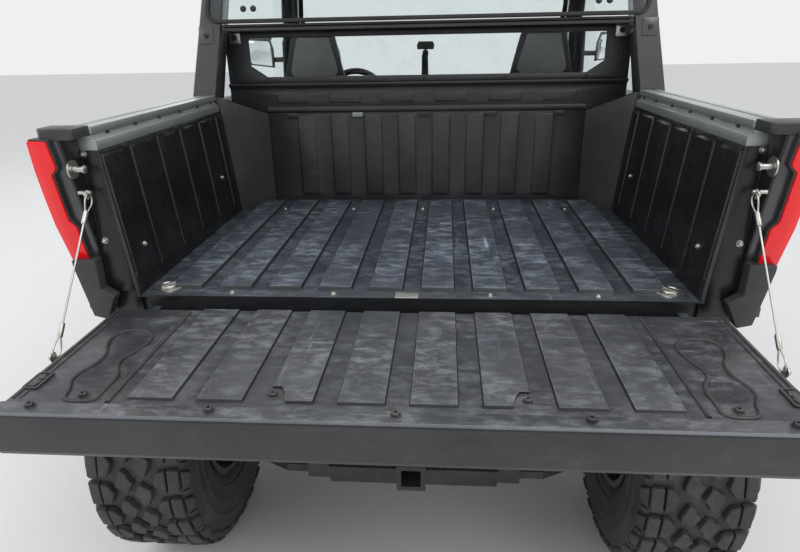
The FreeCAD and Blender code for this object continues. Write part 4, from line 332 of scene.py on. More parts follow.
def make_vinyl(name, colour, depth):
    material, tree, shader, vector = begun(name)
    tone = noise(tree, vector, 8.0, 4.0)
    shade = shaded(tree, ramp(tree, tone.outputs[0], 0.3, 0.7), colour, 0.8, 1.15)
    dusted = effect(tree, "Road dust", Vector=vector, Color=shade, Amount=0.12)
    tree.links.new(dusted.outputs["Color"], shader.inputs["Base Color"])
    plain(shader, Roughness=0.5)
    cells = add(tree, "ShaderNodeTexVoronoi", {"Vector": vector, "Scale": 420.0}, feature="DISTANCE_TO_EDGE")
    pores = ramp(tree, cells.outputs[0], 0.0, 0.12)
    wrinkle = noise(tree, vector, 24.0, 6.0)
    height = plus(tree, multiply(tree, pores, 0.5), wrinkle.outputs[0])
    bumped(tree, shader, height, depth, 0.001)
    return material


MATERIALS = {}


def give(piece, name):
    """Put a finish on a piece, on the object's own slot."""
    if not piece.material_slots:
        piece.data.materials.append(None)
    for slot in piece.material_slots:
        slot.link = "OBJECT"
        slot.material = MATERIALS[name]


# Modelling steps shared by the pieces.

WELD = 0.00005  # points nearer than this are one


def only(*pieces):
    """Select these pieces and nothing else, with the first one active."""
    if bpy.context.object and bpy.context.object.mode != "OBJECT":
        bpy.ops.object.mode_set(mode="OBJECT")
    bpy.ops.object.select_all(action="DESELECT")
    for piece in pieces:
        piece.select_set(True)
    if pieces:
        bpy.context.view_layer.objects.active = pieces[0]


def edit(*pieces):
    """Edit mode with everything selected."""
    if pieces:
        only(*pieces)
    bpy.ops.object.mode_set(mode="EDIT")
    bpy.ops.mesh.select_all(action="SELECT")


def leave(outward=False):
    """Back to object mode, with all normals turned outwards if asked."""
    if outward:
        bpy.ops.mesh.select_all(action="SELECT")
        bpy.ops.mesh.normals_make_consistent(inside=False)
    bpy.ops.object.mode_set(mode="OBJECT")


def use(piece, kind, **settings):
    """Add a modifier with its settings and apply it."""
    only(piece)
    made = piece.modifiers.new(kind.title(), kind)
    for key, value in settings.items():
        setattr(made, key, value)
    bpy.ops.object.modifier_apply(modifier=made.name)


def settle(piece, name, body, finish, angle=32.0, place=None):
    """Moved by place, applied into the mesh, smoothed by angle, and riding on its body with its finish."""
    if place is not None:
        piece.data.transform(place)
    only(piece)
    bpy.ops.object.transform_apply(location=True, rotation=True, scale=True)
    if angle:
        bpy.ops.object.shade_smooth_by_angle(angle=math.radians(angle))
    piece.name = name
    piece.data.name = name
    give(piece, finish)
    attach(piece, body)
    return piece


def joined(pieces):
    only(*pieces)
    if len(pieces) > 1:
        bpy.ops.object.join()
    return bpy.context.object


def copy_of(piece, matrix):
    """A copy with its own mesh, moved by a matrix."""
    made = piece.copy()
    made.data = piece.data.copy()
    bpy.context.collection.objects.link(made)
    made.data.transform(matrix)
    if matrix.determinant() < 0:
        made.data.flip_normals()
    return made


def rounded(piece, width, segments=2, angle=40.0, **settings):
    """Bevel the edges that turn by more than an angle."""
    use(piece, "BEVEL", width=width, segments=segments, limit_method="ANGLE", angle_limit=math.radians(angle),
        **settings)
    return piece


def average(points):
    return sum((Vector(point) for point in points), Vector()) / len(points)


def outlined(points, rounding=0.0, rounds=6):
    """A flat face in XY with rounded corners, left in edit mode and selected."""
    only()
    bpy.ops.mesh.primitive_circle_add(vertices=len(points), fill_type="NGON", radius=1.0)
    piece = bpy.context.object
    for vertex, (x, y) in zip(piece.data.vertices, points):
        vertex.co = (x, y, 0.0)
    edit()
    if rounding:
        bpy.ops.mesh.bevel(offset=rounding, segments=rounds, affect="VERTICES")
        bpy.ops.mesh.select_all(action="SELECT")
    return piece


def lift(height):
    """Extrude what is selected along Z."""
    bpy.ops.mesh.extrude_region_move(TRANSFORM_OT_translate={"value": (0, 0, height)})


def block(outline, height, taper=1.0, bevel=0.0):
    """A flat outline in XY raised along Z, drawn in by taper and bevelled."""
    piece = outlined(outline)
    lift(height)
    if taper != 1.0:
        middle = average([(x, y, 0.0) for x, y in outline])
        bpy.ops.transform.resize(value=(taper, taper, 1.0), center_override=(middle.x, middle.y, height))
    leave(outward=True)
    return rounded(piece, bevel, 1, 30.0) if bevel else piece


def turned(profile, steps=32):
    """(radius, height) corners spun round Z; ends on the axis close the shape."""
    only()
    bpy.ops.mesh.primitive_circle_add(vertices=len(profile), fill_type="NOTHING", radius=1.0)
    piece = bpy.context.object
    bm = bmesh.new()
    row = [bm.verts.new((radius, 0.0, height)) for radius, height in profile]
    for first, second in zip(row, row[1:]):
        bm.edges.new((first, second))
    bm.to_mesh(piece.data)
    bm.free()
    edit()
    bpy.ops.mesh.spin(steps=steps, angle=math.tau, center=(0, 0, 0), axis=(0, 0, 1))
    bpy.ops.mesh.select_all(action="SELECT")
    bpy.ops.mesh.remove_doubles(threshold=0.00002)
    leave(outward=True)
    return piece


def drop(*pieces):
    for piece in pieces:
        bpy.data.objects.remove(piece)


def merged_copy(node):
    """A copy of a node's mesh with its doubles merged, left in edit mode and selected."""
    source = frame["nodes"][node]
    piece = source.copy()
    piece.data = source.data.copy()
    piece.parent = None
    piece.matrix_world = Matrix.Identity(4)
    for key in [word for word in piece.keys() if word.startswith("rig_")]:
        del piece[key]
    bpy.context.collection.objects.link(piece)
    piece.hide_render = piece.hide_viewport = False
    edit(piece)
    bpy.ops.mesh.remove_doubles(threshold=WELD)
    return piece


def softened(node, width, finish=None, cutter=None):
    """A copy of a rigid node, cut where a cutter is given, with its edges rounded as moulded ones are."""
    piece = merged_copy(node)
    if cutter:
        use(piece, "BOOLEAN", object=cutter, operation="DIFFERENCE", solver="EXACT")
        drop(cutter)
        edit()
        bpy.ops.mesh.remove_doubles(threshold=WELD)
    bpy.ops.mesh.dissolve_limited(angle_limit=math.radians(0.5))
    bpy.ops.mesh.quads_convert_to_tris(quad_method="BEAUTY", ngon_method="BEAUTY")
    bpy.ops.mesh.select_all(action="SELECT")
    bpy.ops.mesh.tris_convert_to_quads(face_threshold=0.02, shape_threshold=3.1)
    leave()
    rounded(piece, width, 2, 28.0, use_clamp_overlap=True, miter_outer="MITER_ARC")
    settle(piece, node + "_shell", BODY_OF[node], finish or SLOT_OF[node], angle=40.0)
    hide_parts(node)
    return piece


# Sizes and colours that a user may change.

class VehicleSizes(bpy.types.PropertyGroup):
    edge_round: bpy.props.FloatProperty(
        name="Edge rounding", description="Width of the rounding on moulded edges", default=0.003, unit="LENGTH")
    lug_pitches: bpy.props.IntProperty(
        name="Tread pitches", description="Repeats of the tread round a tyre", default=28, min=12, max=40)
    screw_radius: bpy.props.FloatProperty(
        name="Screw radius", description="Radius of a button-head screw", default=0.008, unit="LENGTH")
    cable_radius: bpy.props.FloatProperty(
        name="Cable radius", description="Radius of the tailgate cables", default=0.0022, unit="LENGTH")


class VehicleColours(bpy.types.PropertyGroup):
    floor_colour: bpy.props.FloatVectorProperty(
        name="Floor", description="Colour of the studio floor", subtype="COLOR", default=(0.74, 0.74, 0.73))
    lamp_red: bpy.props.FloatVectorProperty(
        name="Tail lamps", description="Colour of the red lenses", subtype="COLOR", default=(0.85, 0.002, 0.006))
    glass_tint: bpy.props.FloatVectorProperty(
        name="Glass", description="Tint of the panes", subtype="COLOR", default=(0.86, 0.9, 0.9))


class VEHICLE_OT_finishes(bpy.types.Operator):
    """Build the shared effects and the finishes, and put them on every node"""
    bl_idname = "vehicle.finishes"
    bl_label = "Finishes"

    def execute(self, context):
        colours = context.scene.vehicle_colours
        EFFECTS["Load scuffs"] = build_scuffs()
        EFFECTS["Moulded grain"] = build_grain()
        EFFECTS["Road dust"] = build_dust()
        EFFECTS["Channel shade"] = build_channels()
        for name in FINISHES:
            MATERIALS[name] = make_finish(name)
        MATERIALS["window_glass"] = make_glass("window_glass", colours.glass_tint, 0.08)
        MATERIALS["lamp_red"] = make_lamp("lamp_red", colours.lamp_red, 60.0, 0.12)
        MATERIALS["lamp_clear"] = make_lamp("lamp_clear", (0.75, 0.76, 0.78), 50.0, 0.0)
        MATERIALS["tyre"] = make_rubber()
        MATERIALS["seat_vinyl"] = make_vinyl("seat_vinyl", (0.02, 0.02, 0.022), 0.35)
        MATERIALS["seat_panel"] = make_vinyl("seat_panel", (0.17, 0.165, 0.165), 0.5)
        for node, item in frame["nodes"].items():
            give(item, SLOT_OF[node])
        return {"FINISHED"}


# The camera fitted to the photograph: its place, its yaw, pitch and roll in degrees, its lens and shift.
CAMERA_PLACE = (0.0798, -2.6067, 1.4286)
CAMERA_TURN = (-4.53, 22.06, -1.156)
CAMERA_LENS, CAMERA_SHIFT = 26.72, 0.0048

# Soft lights: name, place, aim, size and power.
LIGHTS = (
    ("key_light", (3.2, -3.6, 5.2), (0.0, -0.6, 0.8), 3.0, 105.0),
    ("fill_light", (-4.2, -2.4, 3.6), (0.0, -0.3, 0.7), 3.5, 48.0),
    ("front_light", (-1.5, 5.0, 4.2), (0.0, 0.6, 0.8), 3.5, 62.0),
    ("top_light", (0.3, -0.6, 6.0), (0.0, -0.6, 0.8), 4.0, 52.0),
)


class VEHICLE_OT_stage(bpy.types.Operator):
    """Camera at the photograph's angle, plain floor and soft light"""
    bl_idname = "vehicle.stage"
    bl_label = "Stage"

    def execute(self, context):
        scene = context.scene
        yaw, pitch, roll = (math.radians(value) for value in CAMERA_TURN)
        forward = Vector((math.sin(yaw) * math.cos(pitch), math.cos(yaw) * math.cos(pitch), -math.sin(pitch)))
        right = Vector((math.cos(yaw), -math.sin(yaw), 0.0))
        up = right.cross(forward)
        right_rolled = right * math.cos(roll) + up * math.sin(roll)
        up_rolled = up * math.cos(roll) - right * math.sin(roll)
        turn = Matrix((right_rolled, up_rolled, -forward)).transposed()
        only()
        bpy.ops.object.camera_add(location=CAMERA_PLACE)
        camera = context.object
        camera.rotation_euler = turn.to_euler()
        camera.data.lens = CAMERA_LENS
        camera.data.sensor_width = 36.0
        camera.data.shift_y = CAMERA_SHIFT
        camera.data.clip_start = 0.05
        scene.camera = camera
        bpy.ops.mesh.primitive_plane_add(size=60.0, location=(0, 0, 0))
        floor = context.object
        floor.name = "studio_floor"
        ground = bpy.data.materials.new("studio_floor")
        ground.use_nodes = True
        shader = ground.node_tree.nodes["Principled BSDF"]
        shader.inputs["Base Color"].default_value = rgba(context.scene.vehicle_colours.floor_colour)
        shader.inputs["Roughness"].default_value = 0.9
        floor.data.materials.append(ground)
        scene.view_settings.view_transform = "Standard"
        world = bpy.data.worlds.new("studio")
        scene.world = world
        world.use_nodes = True
        tree = world.node_tree
        light = tree.nodes["Background"]
        light.inputs["Color"].default_value = (0.95, 0.97, 1.0, 1.0)
        light.inputs["Strength"].default_value = 0.85
        shown = add(tree, "ShaderNodeBackground", {"Color": (0.86, 0.87, 0.88, 1.0), "Strength": 1.0})
        rays = add(tree, "ShaderNodeLightPath").outputs
        seen = maths(tree, "MAXIMUM", rays["Is Camera Ray"], rays["Is Glossy Ray"])
        seen = maths(tree, "MAXIMUM", seen, rays["Is Transmission Ray"])
        both = add(tree, "ShaderNodeMixShader", {0: seen, 1: light.outputs[0], 2: shown.outputs[0]})
        tree.links.new(both.outputs[0], tree.nodes["World Output"].inputs["Surface"])
        for name, place, aim, size, power in LIGHTS:
            bpy.ops.object.light_add(type="AREA", location=place)
            lamp = context.object
            lamp.name = name
            lamp.data.size = size
            lamp.data.energy = power
            lamp.rotation_euler = (Vector(aim) - Vector(place)).to_track_quat("-Z", "Y").to_euler()
        return {"FINISHED"}


REAR = -1.277  # the bed's rear edge
FLOOR = 0.85  # top of the bed's floor
GATE_SKIN = 0.824  # top of the gate liner's skin, under its pads

# Outline of the notch that leaves room for a screw in a pad's corner.
NOTCH = ((0.262, -1.73), (0.203, -1.73), (0.203, -1.718), (0.21, -1.688), (0.22, -1.668), (0.262, -1.668))


class VEHICLE_OT_shells(bpy.types.Operator):
    """Moulded, folded and welded shells with the soft edges of the real ones"""
    bl_idname = "vehicle.shells"
    bl_label = "Shells"

    def execute(self, context):
        edge = context.scene.vehicle_sizes.edge_round
        notches = joined([plate([(side * x, y) for x, y in NOTCH], 0.02, 0.0) for side in (-1, 1)])
        notches.data.transform(Matrix.Translation((0, 0, GATE_SKIN)))
        cutters = {"gate_inner": notches}
        for node, share in (
                ("gate_inner", 1.7), ("gate_shell", 1.3), ("bed_floor", 1.9), ("bed_walls", 1.3),
                ("bed_front", 1.3), ("bed_sides", 1.3), ("rail_caps", 0.8), ("corner_flares", 1.3),
                ("rear_panel", 1.3), ("rear_window", 1.0), ("cab_frame", 1.2), ("roof", 1.5), ("dash", 1.5),
                ("hood", 1.3), ("door_panel_left", 1.3), ("door_panel_right", 1.3), ("front_fenders", 1.5),
                ("front_fascia", 1.0), ("front_bumper", 1.0), ("bed_rails", 0.25),
                ("headlamps", 0.8), ("mirrors", 1.2), ("rockers", 1.2), ("seat_base", 1.2), ("bed_frame", 0.6),
                ("frame", 0.6), ("floor_tub", 1.0)):
            softened(node, edge * share, {"gate_inner": "gate_liner", "bed_front": "dark_plastic"}.get(node),
                     cutter=cutters.get(node))
        return {"FINISHED"}


def tree_of(*nodes):
    """A search tree of the named nodes' surfaces."""
    bm = bmesh.new()
    for node in nodes:
        bm.from_mesh(frame["nodes"][node].data)
    tree = BVHTree.FromBMesh(bm)
    bm.free()
    return tree


def landing(tree, start, direction):
    """Where a line first meets a surface, and the surface's outward normal."""
    point, normal = tree.ray_cast(Vector(start), Vector(direction).normalized())[:2]
    if point is None:
        raise RuntimeError(f"nothing to fasten to from {start} along {direction}")
    if normal.dot(Vector(direction)) > 0:
        normal = -normal
    return point, normal


def standing(point, normal, sink=0.0, spin=0.0):
    """A matrix that puts a Z-up model on a surface."""
    turn = normal.to_track_quat("Z", "Y").to_matrix().to_4x4()
    return Matrix.Translation(Vector(point) - normal * sink) @ turn @ Matrix.Rotation(spin, 4, "Z")


def landed(tree, starts, direction, sink=0.0, spin=0.0):
    """Where lines first meet a surface, as standing places, each turned by spin more than the last."""
    return [standing(*landing(tree, start, direction), sink, spin * count) for count, start in enumerate(starts)]


def pick_faces(piece, wanted):
    """Select in edit mode the faces for which wanted(centre, normal) holds."""
    bm = bmesh.from_edit_mesh(piece.data)
    for face in bm.faces:
        face.select_set(wanted(face.calc_center_median(), face.normal))
    bm.select_flush_mode()
    bmesh.update_edit_mesh(piece.data)


def drum(sides, radius, depth, middle):
    """A cylinder round Z with its middle at a height."""
    only()
    bpy.ops.mesh.primitive_cylinder_add(vertices=sides, radius=radius, depth=depth, location=(0, 0, middle))
    bpy.ops.object.transform_apply(location=True)
    return bpy.context.object


def screw_model(radius, height):
    """A button head with a washer under it and a socket, standing on Z = 0."""
    piece = drum(24, radius, height, height / 2)
    bpy.ops.object.mode_set(mode="EDIT")
    bpy.ops.mesh.select_mode(type="FACE")
    bpy.ops.mesh.select_all(action="DESELECT")
    pick_faces(piece, lambda centre, normal: normal.z > 0.9)
    bpy.ops.mesh.inset(thickness=radius * 0.28, depth=height * 0.35)
    bpy.ops.mesh.inset(thickness=radius * 0.3, depth=0.0)
    lift(-height * 0.7)
    leave()
    rounded(piece, radius * 0.08, 1)
    washer = rounded(drum(24, radius * 1.35, height * 0.3, height * 0.1), height * 0.08, 1)
    return joined([piece, washer])


def nut_model(radius, height):
    """A hexagon nut on a flange with a domed end of its stud."""
    flange = turned([(0.0, 0.0), (radius * 1.25, 0.0), (radius * 1.2, height * 0.18), (0.0, height * 0.18)], 24)
    nut = rounded(drum(6, radius, height, height * 0.6), radius * 0.12)
    stud = turned([(0.0, height), (radius * 0.55, height), (radius * 0.55, height * 1.35),
                   (radius * 0.4, height * 1.5), (0.0, height * 1.5)], 16)
    return joined([flange, nut, stud])


def spread(model, matrices, name, body, finish, angle=35.0):
    """Copies of a model at each place, gathered in one piece."""
    piece = joined([copy_of(model, matrix) for matrix in matrices])
    return settle(piece, name, body, finish, angle)


STOOD = Matrix.Rotation(math.radians(90.0), 4, "X")  # stands a plate in XY up along Z


def oblong(x, y):
    """The corners of a rectangle that reaches x and y to each side of its middle."""
    return (-x, -y), (x, -y), (x, y), (-x, y)


def plate(points, thickness, bevel, rounding=0.0, rounds=6):
    """A flat plate in XY with rounded corners and soft edges, raised along Z."""
    piece = outlined(points, rounding, rounds)
    lift(thickness)
    leave(outward=True)
    return rounded(piece, bevel) if bevel else piece


def ring_plate(points, band, thickness, bevel, rounding, rounds=8):
    """A flat frame of an outline: an inset band without its middle, raised along Z."""
    piece = outlined(points, rounding, rounds)
    bpy.ops.mesh.inset(thickness=band)
    bpy.ops.mesh.delete(type="FACE")
    bpy.ops.mesh.select_all(action="SELECT")
    lift(thickness)
    leave(outward=True)
    return rounded(piece, bevel)


def wire(points, radius, steps=6):
    """A round wire along a smooth line through a few points."""
    line = bpy.data.curves.new("wire", "CURVE")
    line.dimensions = "3D"
    spline = line.splines.new("NURBS")
    spline.points.add(len(points) - 1)
    for knot, place in zip(spline.points, points):
        knot.co = (*place, 1.0)
    spline.order_u = 3
    spline.use_endpoint_u = True
    line.resolution_u = steps
    line.bevel_depth = radius
    line.bevel_resolution = 2
    line.use_fill_caps = True
    item = bpy.data.objects.new("wire", line)
    bpy.context.collection.objects.link(item)
    only(item)
    bpy.ops.object.convert(target="MESH")
    return bpy.context.object


CURL = 0.026  # radius of a tyre's shoulder
SHOULDER = 0.036  # from a tyre's side to the edge of its flat crown
TREAD = 0.0155  # depth of the tread


def tyre_casing(radius, half):
    """Casing without tread, spun round Z: bead, rim guard, bulging side, round shoulder, crown and lining."""
    side = ((0.2, 0.036), (0.196, 0.03), (0.186, 0.03), (0.176, 0.018), (0.172, 0.016), (0.162, 0.014),
            (0.160, 0.010), (0.148, 0.008), (0.120, 0.003), (0.118, 0.0015), (0.109, 0.0015), (0.107, 0.003),
            (0.086, 0.003), (0.084, 0.0015), (0.079, 0.0015), (0.077, 0.003), (0.058, 0.005), (0.042, 0.009))
    rows = [(radius - drop_by, half - inset) for drop_by, inset in side]
    for turn in (10, 30, 50, 70, 90):
        angle = math.radians(turn)
        rows.append((radius - 0.0165 - CURL * (1 - math.sin(angle)), half - SHOULDER + CURL * math.cos(angle)))
    rows.append((radius - 0.0162, 0.05))
    rows.append((radius - 0.0158, 0.0))
    mirrored = [(r, -x) for r, x in reversed(rows[:-1])]
    lining = [(radius - 0.198, 0.05 - half), (radius - 0.12, 0.02 - half), (radius - 0.05, 0.03 - half),
              (radius - 0.03, 0.0), (radius - 0.05, half - 0.03), (radius - 0.12, half - 0.02),
              (radius - 0.198, half - 0.05)]
    return rows + mirrored + lining + [rows[0]]


def lug(points, height, place, radius, flat, taper, cuts):
    """One tread block: its outline lies on the casing and wraps over the shoulder."""
    piece = block(points, height, taper, 0.0018)
    if cuts:
        edit(piece)
        bpy.ops.mesh.quads_convert_to_tris(quad_method="BEAUTY", ngon_method="BEAUTY")
        bpy.ops.mesh.subdivide(number_cuts=cuts)
        leave()
    for vertex in piece.data.vertices:
        across, along, rise = vertex.co
        over = max(0.0, abs(across) - flat)
        angle = min(over / CURL, 1.5)
        out = math.copysign(flat + math.sin(angle) * (CURL + rise), across) if over else across
        reach = radius + rise - (1.0 - math.cos(angle)) * (CURL + rise)
        turn = place + along / radius
        vertex.co = (reach * math.cos(turn), reach * math.sin(turn), out)
    return piece


CENTRE_BLOCK = ((-0.002, -0.005), (0.016, -0.0365), (0.0475, -0.018), (0.046, 0.0), (0.031, 0.0315),
                (0.014, 0.0215), (0.011, 0.009))
SHOULDER_INNER = ((0.0505, 0.005), (0.062, -0.0275), (0.086, -0.0335), (0.086, 0.0325), (0.068, 0.03))
SHOULDER_OUTER = ((0.0885, -0.035), (0.1145, -0.036), (0.1145, 0.034), (0.0885, 0.0325))
SIDE_BAR = ((0.116, -0.029), (0.142, -0.019), (0.142, 0.019), (0.116, 0.028))
SIDE_BAR_SHORT = ((0.119, -0.008), (0.138, -0.006), (0.138, 0.006), (0.119, 0.008))


CORNERS = ("rear_left", "rear_right", "front_left", "front_right")


class VEHICLE_OT_tyres(bpy.types.Operator):
    """Mud tyres: casing with rim guard, notched centre blocks, two-part shoulder lugs and side bars"""
    bl_idname = "vehicle.tyres"
    bl_label = "Tyres"

    def execute(self, context):
        pitches = context.scene.vehicle_sizes.lug_pitches
        low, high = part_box("tyre_rear_left")
        radius = (high.z - low.z) / 2 - 0.0008
        half = (high.x - low.x) / 2 - 0.0015
        base = radius - TREAD
        flat = half - SHOULDER
        casing = turned(tyre_casing(radius, half), 78)
        step = math.tau / pitches
        pattern = ((CENTRE_BLOCK, TREAD, 0.0, 0.9, 1), (SHOULDER_INNER, TREAD, 0.5, 0.9, 1),
                   (SHOULDER_OUTER, TREAD - 0.001, 0.5, 0.9, 1), (SIDE_BAR, 0.008, 0.5, 0.8, 1),
                   (SIDE_BAR_SHORT, 0.005, 0.0, 0.8, 0))
        pitch = joined([lug([(sign * x, sign * y) for x, y in outline], height, step * (shift + later), base, flat,
                            taper, cuts)
                        for sign, shift in ((1, 0.0), (-1, 0.5)) for outline, height, later, taper, cuts in pattern])
        ring = [pitch] + [copy_of(pitch, Matrix.Rotation(step * count, 4, "Z")) for count in range(1, pitches)]
        model = joined([casing] + ring)
        model.data.transform(Matrix.Rotation(math.radians(90.0), 4, "Y"))
        for corner in CORNERS:
            node = "tyre_" + corner
            low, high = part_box(node)
            facing = Matrix.Rotation(math.pi, 4, "Z") if "right" in node else Matrix.Identity(4)
            piece = copy_of(model, Matrix.Translation((low + high) / 2) @ facing)
            settle(piece, "mud_" + node, BODY_OF[node], "tyre")
            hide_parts(node)
        drop(model)
        return {"FINISHED"}


NUT_CIRCLE = 0.0685  # from a wheel's middle to its nuts
VALVE_REACH = 0.156  # from a wheel's middle to its valve


class VEHICLE_OT_wheels(bpy.types.Operator):
    """Rims with soft edges, wheel nuts, a centre cap and a valve"""
    bl_idname = "vehicle.wheels"
    bl_label = "Wheels"

    def execute(self, context):
        nut = nut_model(0.0105, 0.014)
        cap = turned([(0.0, 0.022), (0.018, 0.0215), (0.026, 0.018), (0.03, 0.012), (0.032, 0.0), (0.0, 0.0)], 36)
        valve = turned([(0.0, 0.0), (0.006, 0.0), (0.0055, 0.008), (0.004, 0.01), (0.004, 0.024), (0.005, 0.025),
                        (0.005, 0.034), (0.0035, 0.036), (0.0, 0.036)], 16)
        for corner in CORNERS:
            node = "rim_" + corner
            body = BODY_OF[node]
            softened(node, 0.0022, "rim_metal")
            low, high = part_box(node)
            middle = (low + high) / 2
            side = 1.0 if "right" in node else -1.0
            tree = tree_of(node)
            axis = Vector((side, 0.0, 0.0))

            def on_rim(across, rise):
                """The point of the rim's outer face at this place from its middle."""
                start = (middle.x + side * 0.4, middle.y + across, middle.z + rise)
                return landing(tree, start, (-side, 0, 0))[0]

            angles = [math.radians(45 + 90 * count) for count in range(4)]
            places = [standing(on_rim(NUT_CIRCLE * math.cos(angle), NUT_CIRCLE * math.sin(angle)), axis, 0.0005,
                               angle) for angle in angles]
            spread(nut, places, "wheel_nuts_" + corner, body, "zinc")
            point = on_rim(0.028, 0.0)
            point.y = middle.y
            spread(cap, [standing(point, axis, 0.001)], "centre_cap_" + corner, body, "dark_plastic")
            spread(valve, [standing(on_rim(0.0, VALVE_REACH), axis, 0.002)], "valve_" + corner, body, "rubber_seal")
        drop(nut, cap, valve)
        return {"FINISHED"}


SUNK = 0.0004  # how far a screw's washer sinks into its surface


class VEHICLE_OT_screws(bpy.types.Operator):
    """Button-head screws and nuts of the gate, floor, rails, window and body panels"""
    bl_idname = "vehicle.screws"
    bl_label = "Screws"

    def execute(self, context):
        size = context.scene.vehicle_sizes.screw_radius
        button = screw_model(size, 0.006)
        small = screw_model(size * 0.7, 0.004)
        hexagon = nut_model(0.0065, 0.007)
        down, ahead = (0, 0, -1), (0, 1, 0)
        groups = (
            ("gate_screws", "tailgate", "gate_shell gate_inner", button, "steel_black", down,
             [(x, REAR - 0.476, 1.5) for x in (-0.66, -0.33, 0.0, 0.33, 0.66)]
             + [(x, REAR - 0.43, 1.5) for x in (-0.588, 0.588)]),
            ("floor_screws", "bed", "bed_floor", small, "zinc", down,
             [(x, REAR + 0.82, 1.1) for x in (-0.52, -0.26, 0.0, 0.26, 0.52)]
             + [(x, REAR + 0.02, 1.1) for x in (-0.455, -0.195, 0.195, 0.455)]),
            ("window_bolts", "chassis", "rear_window", small, "steel_black", ahead,
             [(x, -1.0, FLOOR + 0.444) for x in (-0.59, -0.3, 0.0, 0.3, 0.59)]
             + [(x, -1.0, FLOOR + 0.604) for x in (-0.35, 0.0, 0.35)]
             + [(x, -1.0, FLOOR + 0.525) for x in (-0.69, 0.69)]),
            ("glass_bolts", "chassis", "rear_glass", button, "steel_black", ahead,
             [(x, -1.0, FLOOR + 0.685) for x in (-0.615, -0.58, 0.58, 0.615)]),
            ("post_bolts", "bed", "bed_sides bed_walls", hexagon, "zinc", ahead,
             [(side * x, -1.6, FLOOR + z) for side in (-1, 1) for x, z in ((0.756, 0.345), (0.748, 0.135))]),
            ("roof_screws", "chassis", "roof", button, "steel_black", down,
             [(side * 0.6, y, 2.5) for side in (-1, 1) for y in (-0.24, 0.05, 0.34, 0.56)]),
            ("hood_screws", "hood", "hood", button, "steel_black", down,
             [(side * 0.33, y, 2.0) for side in (-1, 1) for y in (1.02, 1.52)]),
            ("fender_screws", "chassis", "front_fenders", button, "steel_black", down,
             [(side * x, y, 2.0) for side in (-1, 1) for x, y in ((0.46, 1.1), (0.46, 1.35), (0.74, 1.05))]),
        )
        for name, body, nodes, model, finish, direction, starts in groups:
            spread(model, landed(tree_of(*nodes.split()), starts, direction, SUNK, 0.7), name, body, finish)
        notched = [standing((x, REAR - 0.415, GATE_SKIN), Vector((0, 0, 1)), SUNK, x) for x in (-0.232, 0.232)]
        spread(button, notched, "notch_screws", "tailgate", "steel_black")
        for name, node, finish, starts in (
                ("rail_bolts", "bed_rails", "steel_black",
                 [(0.0, y, 1.2335) for y in (-1.2, -1.06, -0.92, -0.78, -0.64, -0.52)]),
                ("wall_bolts", "bed_walls", "zinc",
                 [(0.0, REAR + 0.075, FLOOR + 0.102), (0.0, REAR + 0.675, FLOOR + 0.143)])):
            tree = tree_of(node)
            places = [place for side in (-1, 1) for place in landed(tree, starts, (side, 0, 0), SUNK)]
            spread(small, places, name, "bed", finish)
        drop(button, small, hexagon)
        return {"FINISHED"}


class VEHICLE_OT_bed_fittings(bpy.types.Operator):
    """Tie-down rings, floor bracket, wall clips, and the striker pins' washers and heads"""
    bl_idname = "vehicle.bed_fittings"
    bl_label = "Bed fittings"

    def execute(self, context):
        floor = tree_of("bed_floor")
        ring_base = plate(oblong(0.032, 0.024), 0.006, 0.0015, 0.01)
        only()
        bpy.ops.mesh.primitive_torus_add(major_radius=0.018, minor_radius=0.0036, major_segments=28,
                                         minor_segments=10, location=(0, 0, 0.0095))
        loop = bpy.context.object
        bpy.ops.object.transform_apply(location=True)
        saddle = plate(oblong(0.006, 0.022), 0.014, 0.003, 0.002)
        fitting = joined([ring_base, loop, saddle])
        places = [standing(*landing(floor, (side * 0.632, REAR + 0.045, 1.1), (0, 0, -1)), 0.001, side * 0.5)
                  for side in (-1, 1)]
        spread(fitting, places, "tie_downs", "bed", "zinc")
        drop(fitting)
        point = landing(floor, (-0.01, REAR + 0.012, 1.1), (0, 0, -1))[0]
        flat = plate(((-0.03, -0.016), (0.03, -0.016), (0.03, 0.02), (-0.03, 0.02)), 0.0035, 0.001, 0.004)
        settle(flat, "floor_bracket", "bed", "zinc", place=Matrix.Translation(point))
        front = tree_of("bed_front")
        clip = plate(oblong(0.02, 0.008), 0.009, 0.002, 0.003)
        for name, finish, spots in (("wall_clips", "dark_plastic", (-0.5, 0.0, 0.25, 0.5)),
                                    ("light_clip", "grey_plastic", (-0.25,))):
            places = landed(front, [(x, -1.0, FLOOR + 0.318) for x in spots], (0, 1, 0), 0.001)
            spread(clip, places, name, "bed", finish)
        drop(clip)
        washer = turned([(0.0085, 0.0), (0.021, 0.0), (0.021, 0.003), (0.0085, 0.0035), (0.0085, 0.0)], 32)
        head = turned([(0.0, 0.0), (0.009, 0.0), (0.0095, 0.001), (0.0095, 0.004), (0.006, 0.006), (0.0, 0.006)], 24)
        low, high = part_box("latch_pins")
        pin_z = (low.z + high.z) / 2
        rings, heads = [], []
        pins = [vertex.co for vertex in frame["nodes"]["latch_pins"].data.vertices if vertex.co.z > pin_z]
        for side in (-1, 1):
            mine = [co for co in pins if co.x * side > 0]
            inner = min(co.x * side for co in mine)
            end = [co for co in mine if co.x * side < inner + 0.002]
            centre = average(end)
            axis = Vector((-side, 0, 0))
            heads.append(standing((side * inner, centre.y, centre.z), axis, 0.002))
            rings.append(standing((side * (inner + 0.028), centre.y, centre.z), axis, 0.0))
        spread(washer, rings, "striker_washers", "bed", "zinc")
        spread(head, heads, "striker_heads", "bed", "zinc")
        drop(washer, head)
        return {"FINISHED"}


# Half of the eye at a cable's end: steps across the cable and along it from the anchor.
HALF_EYE = ((0.0022, 0.062), (0.0026, 0.044), (0.012, 0.025), (0.0135, 0.013), (0.009, 0.002), (0.0, -0.0015))


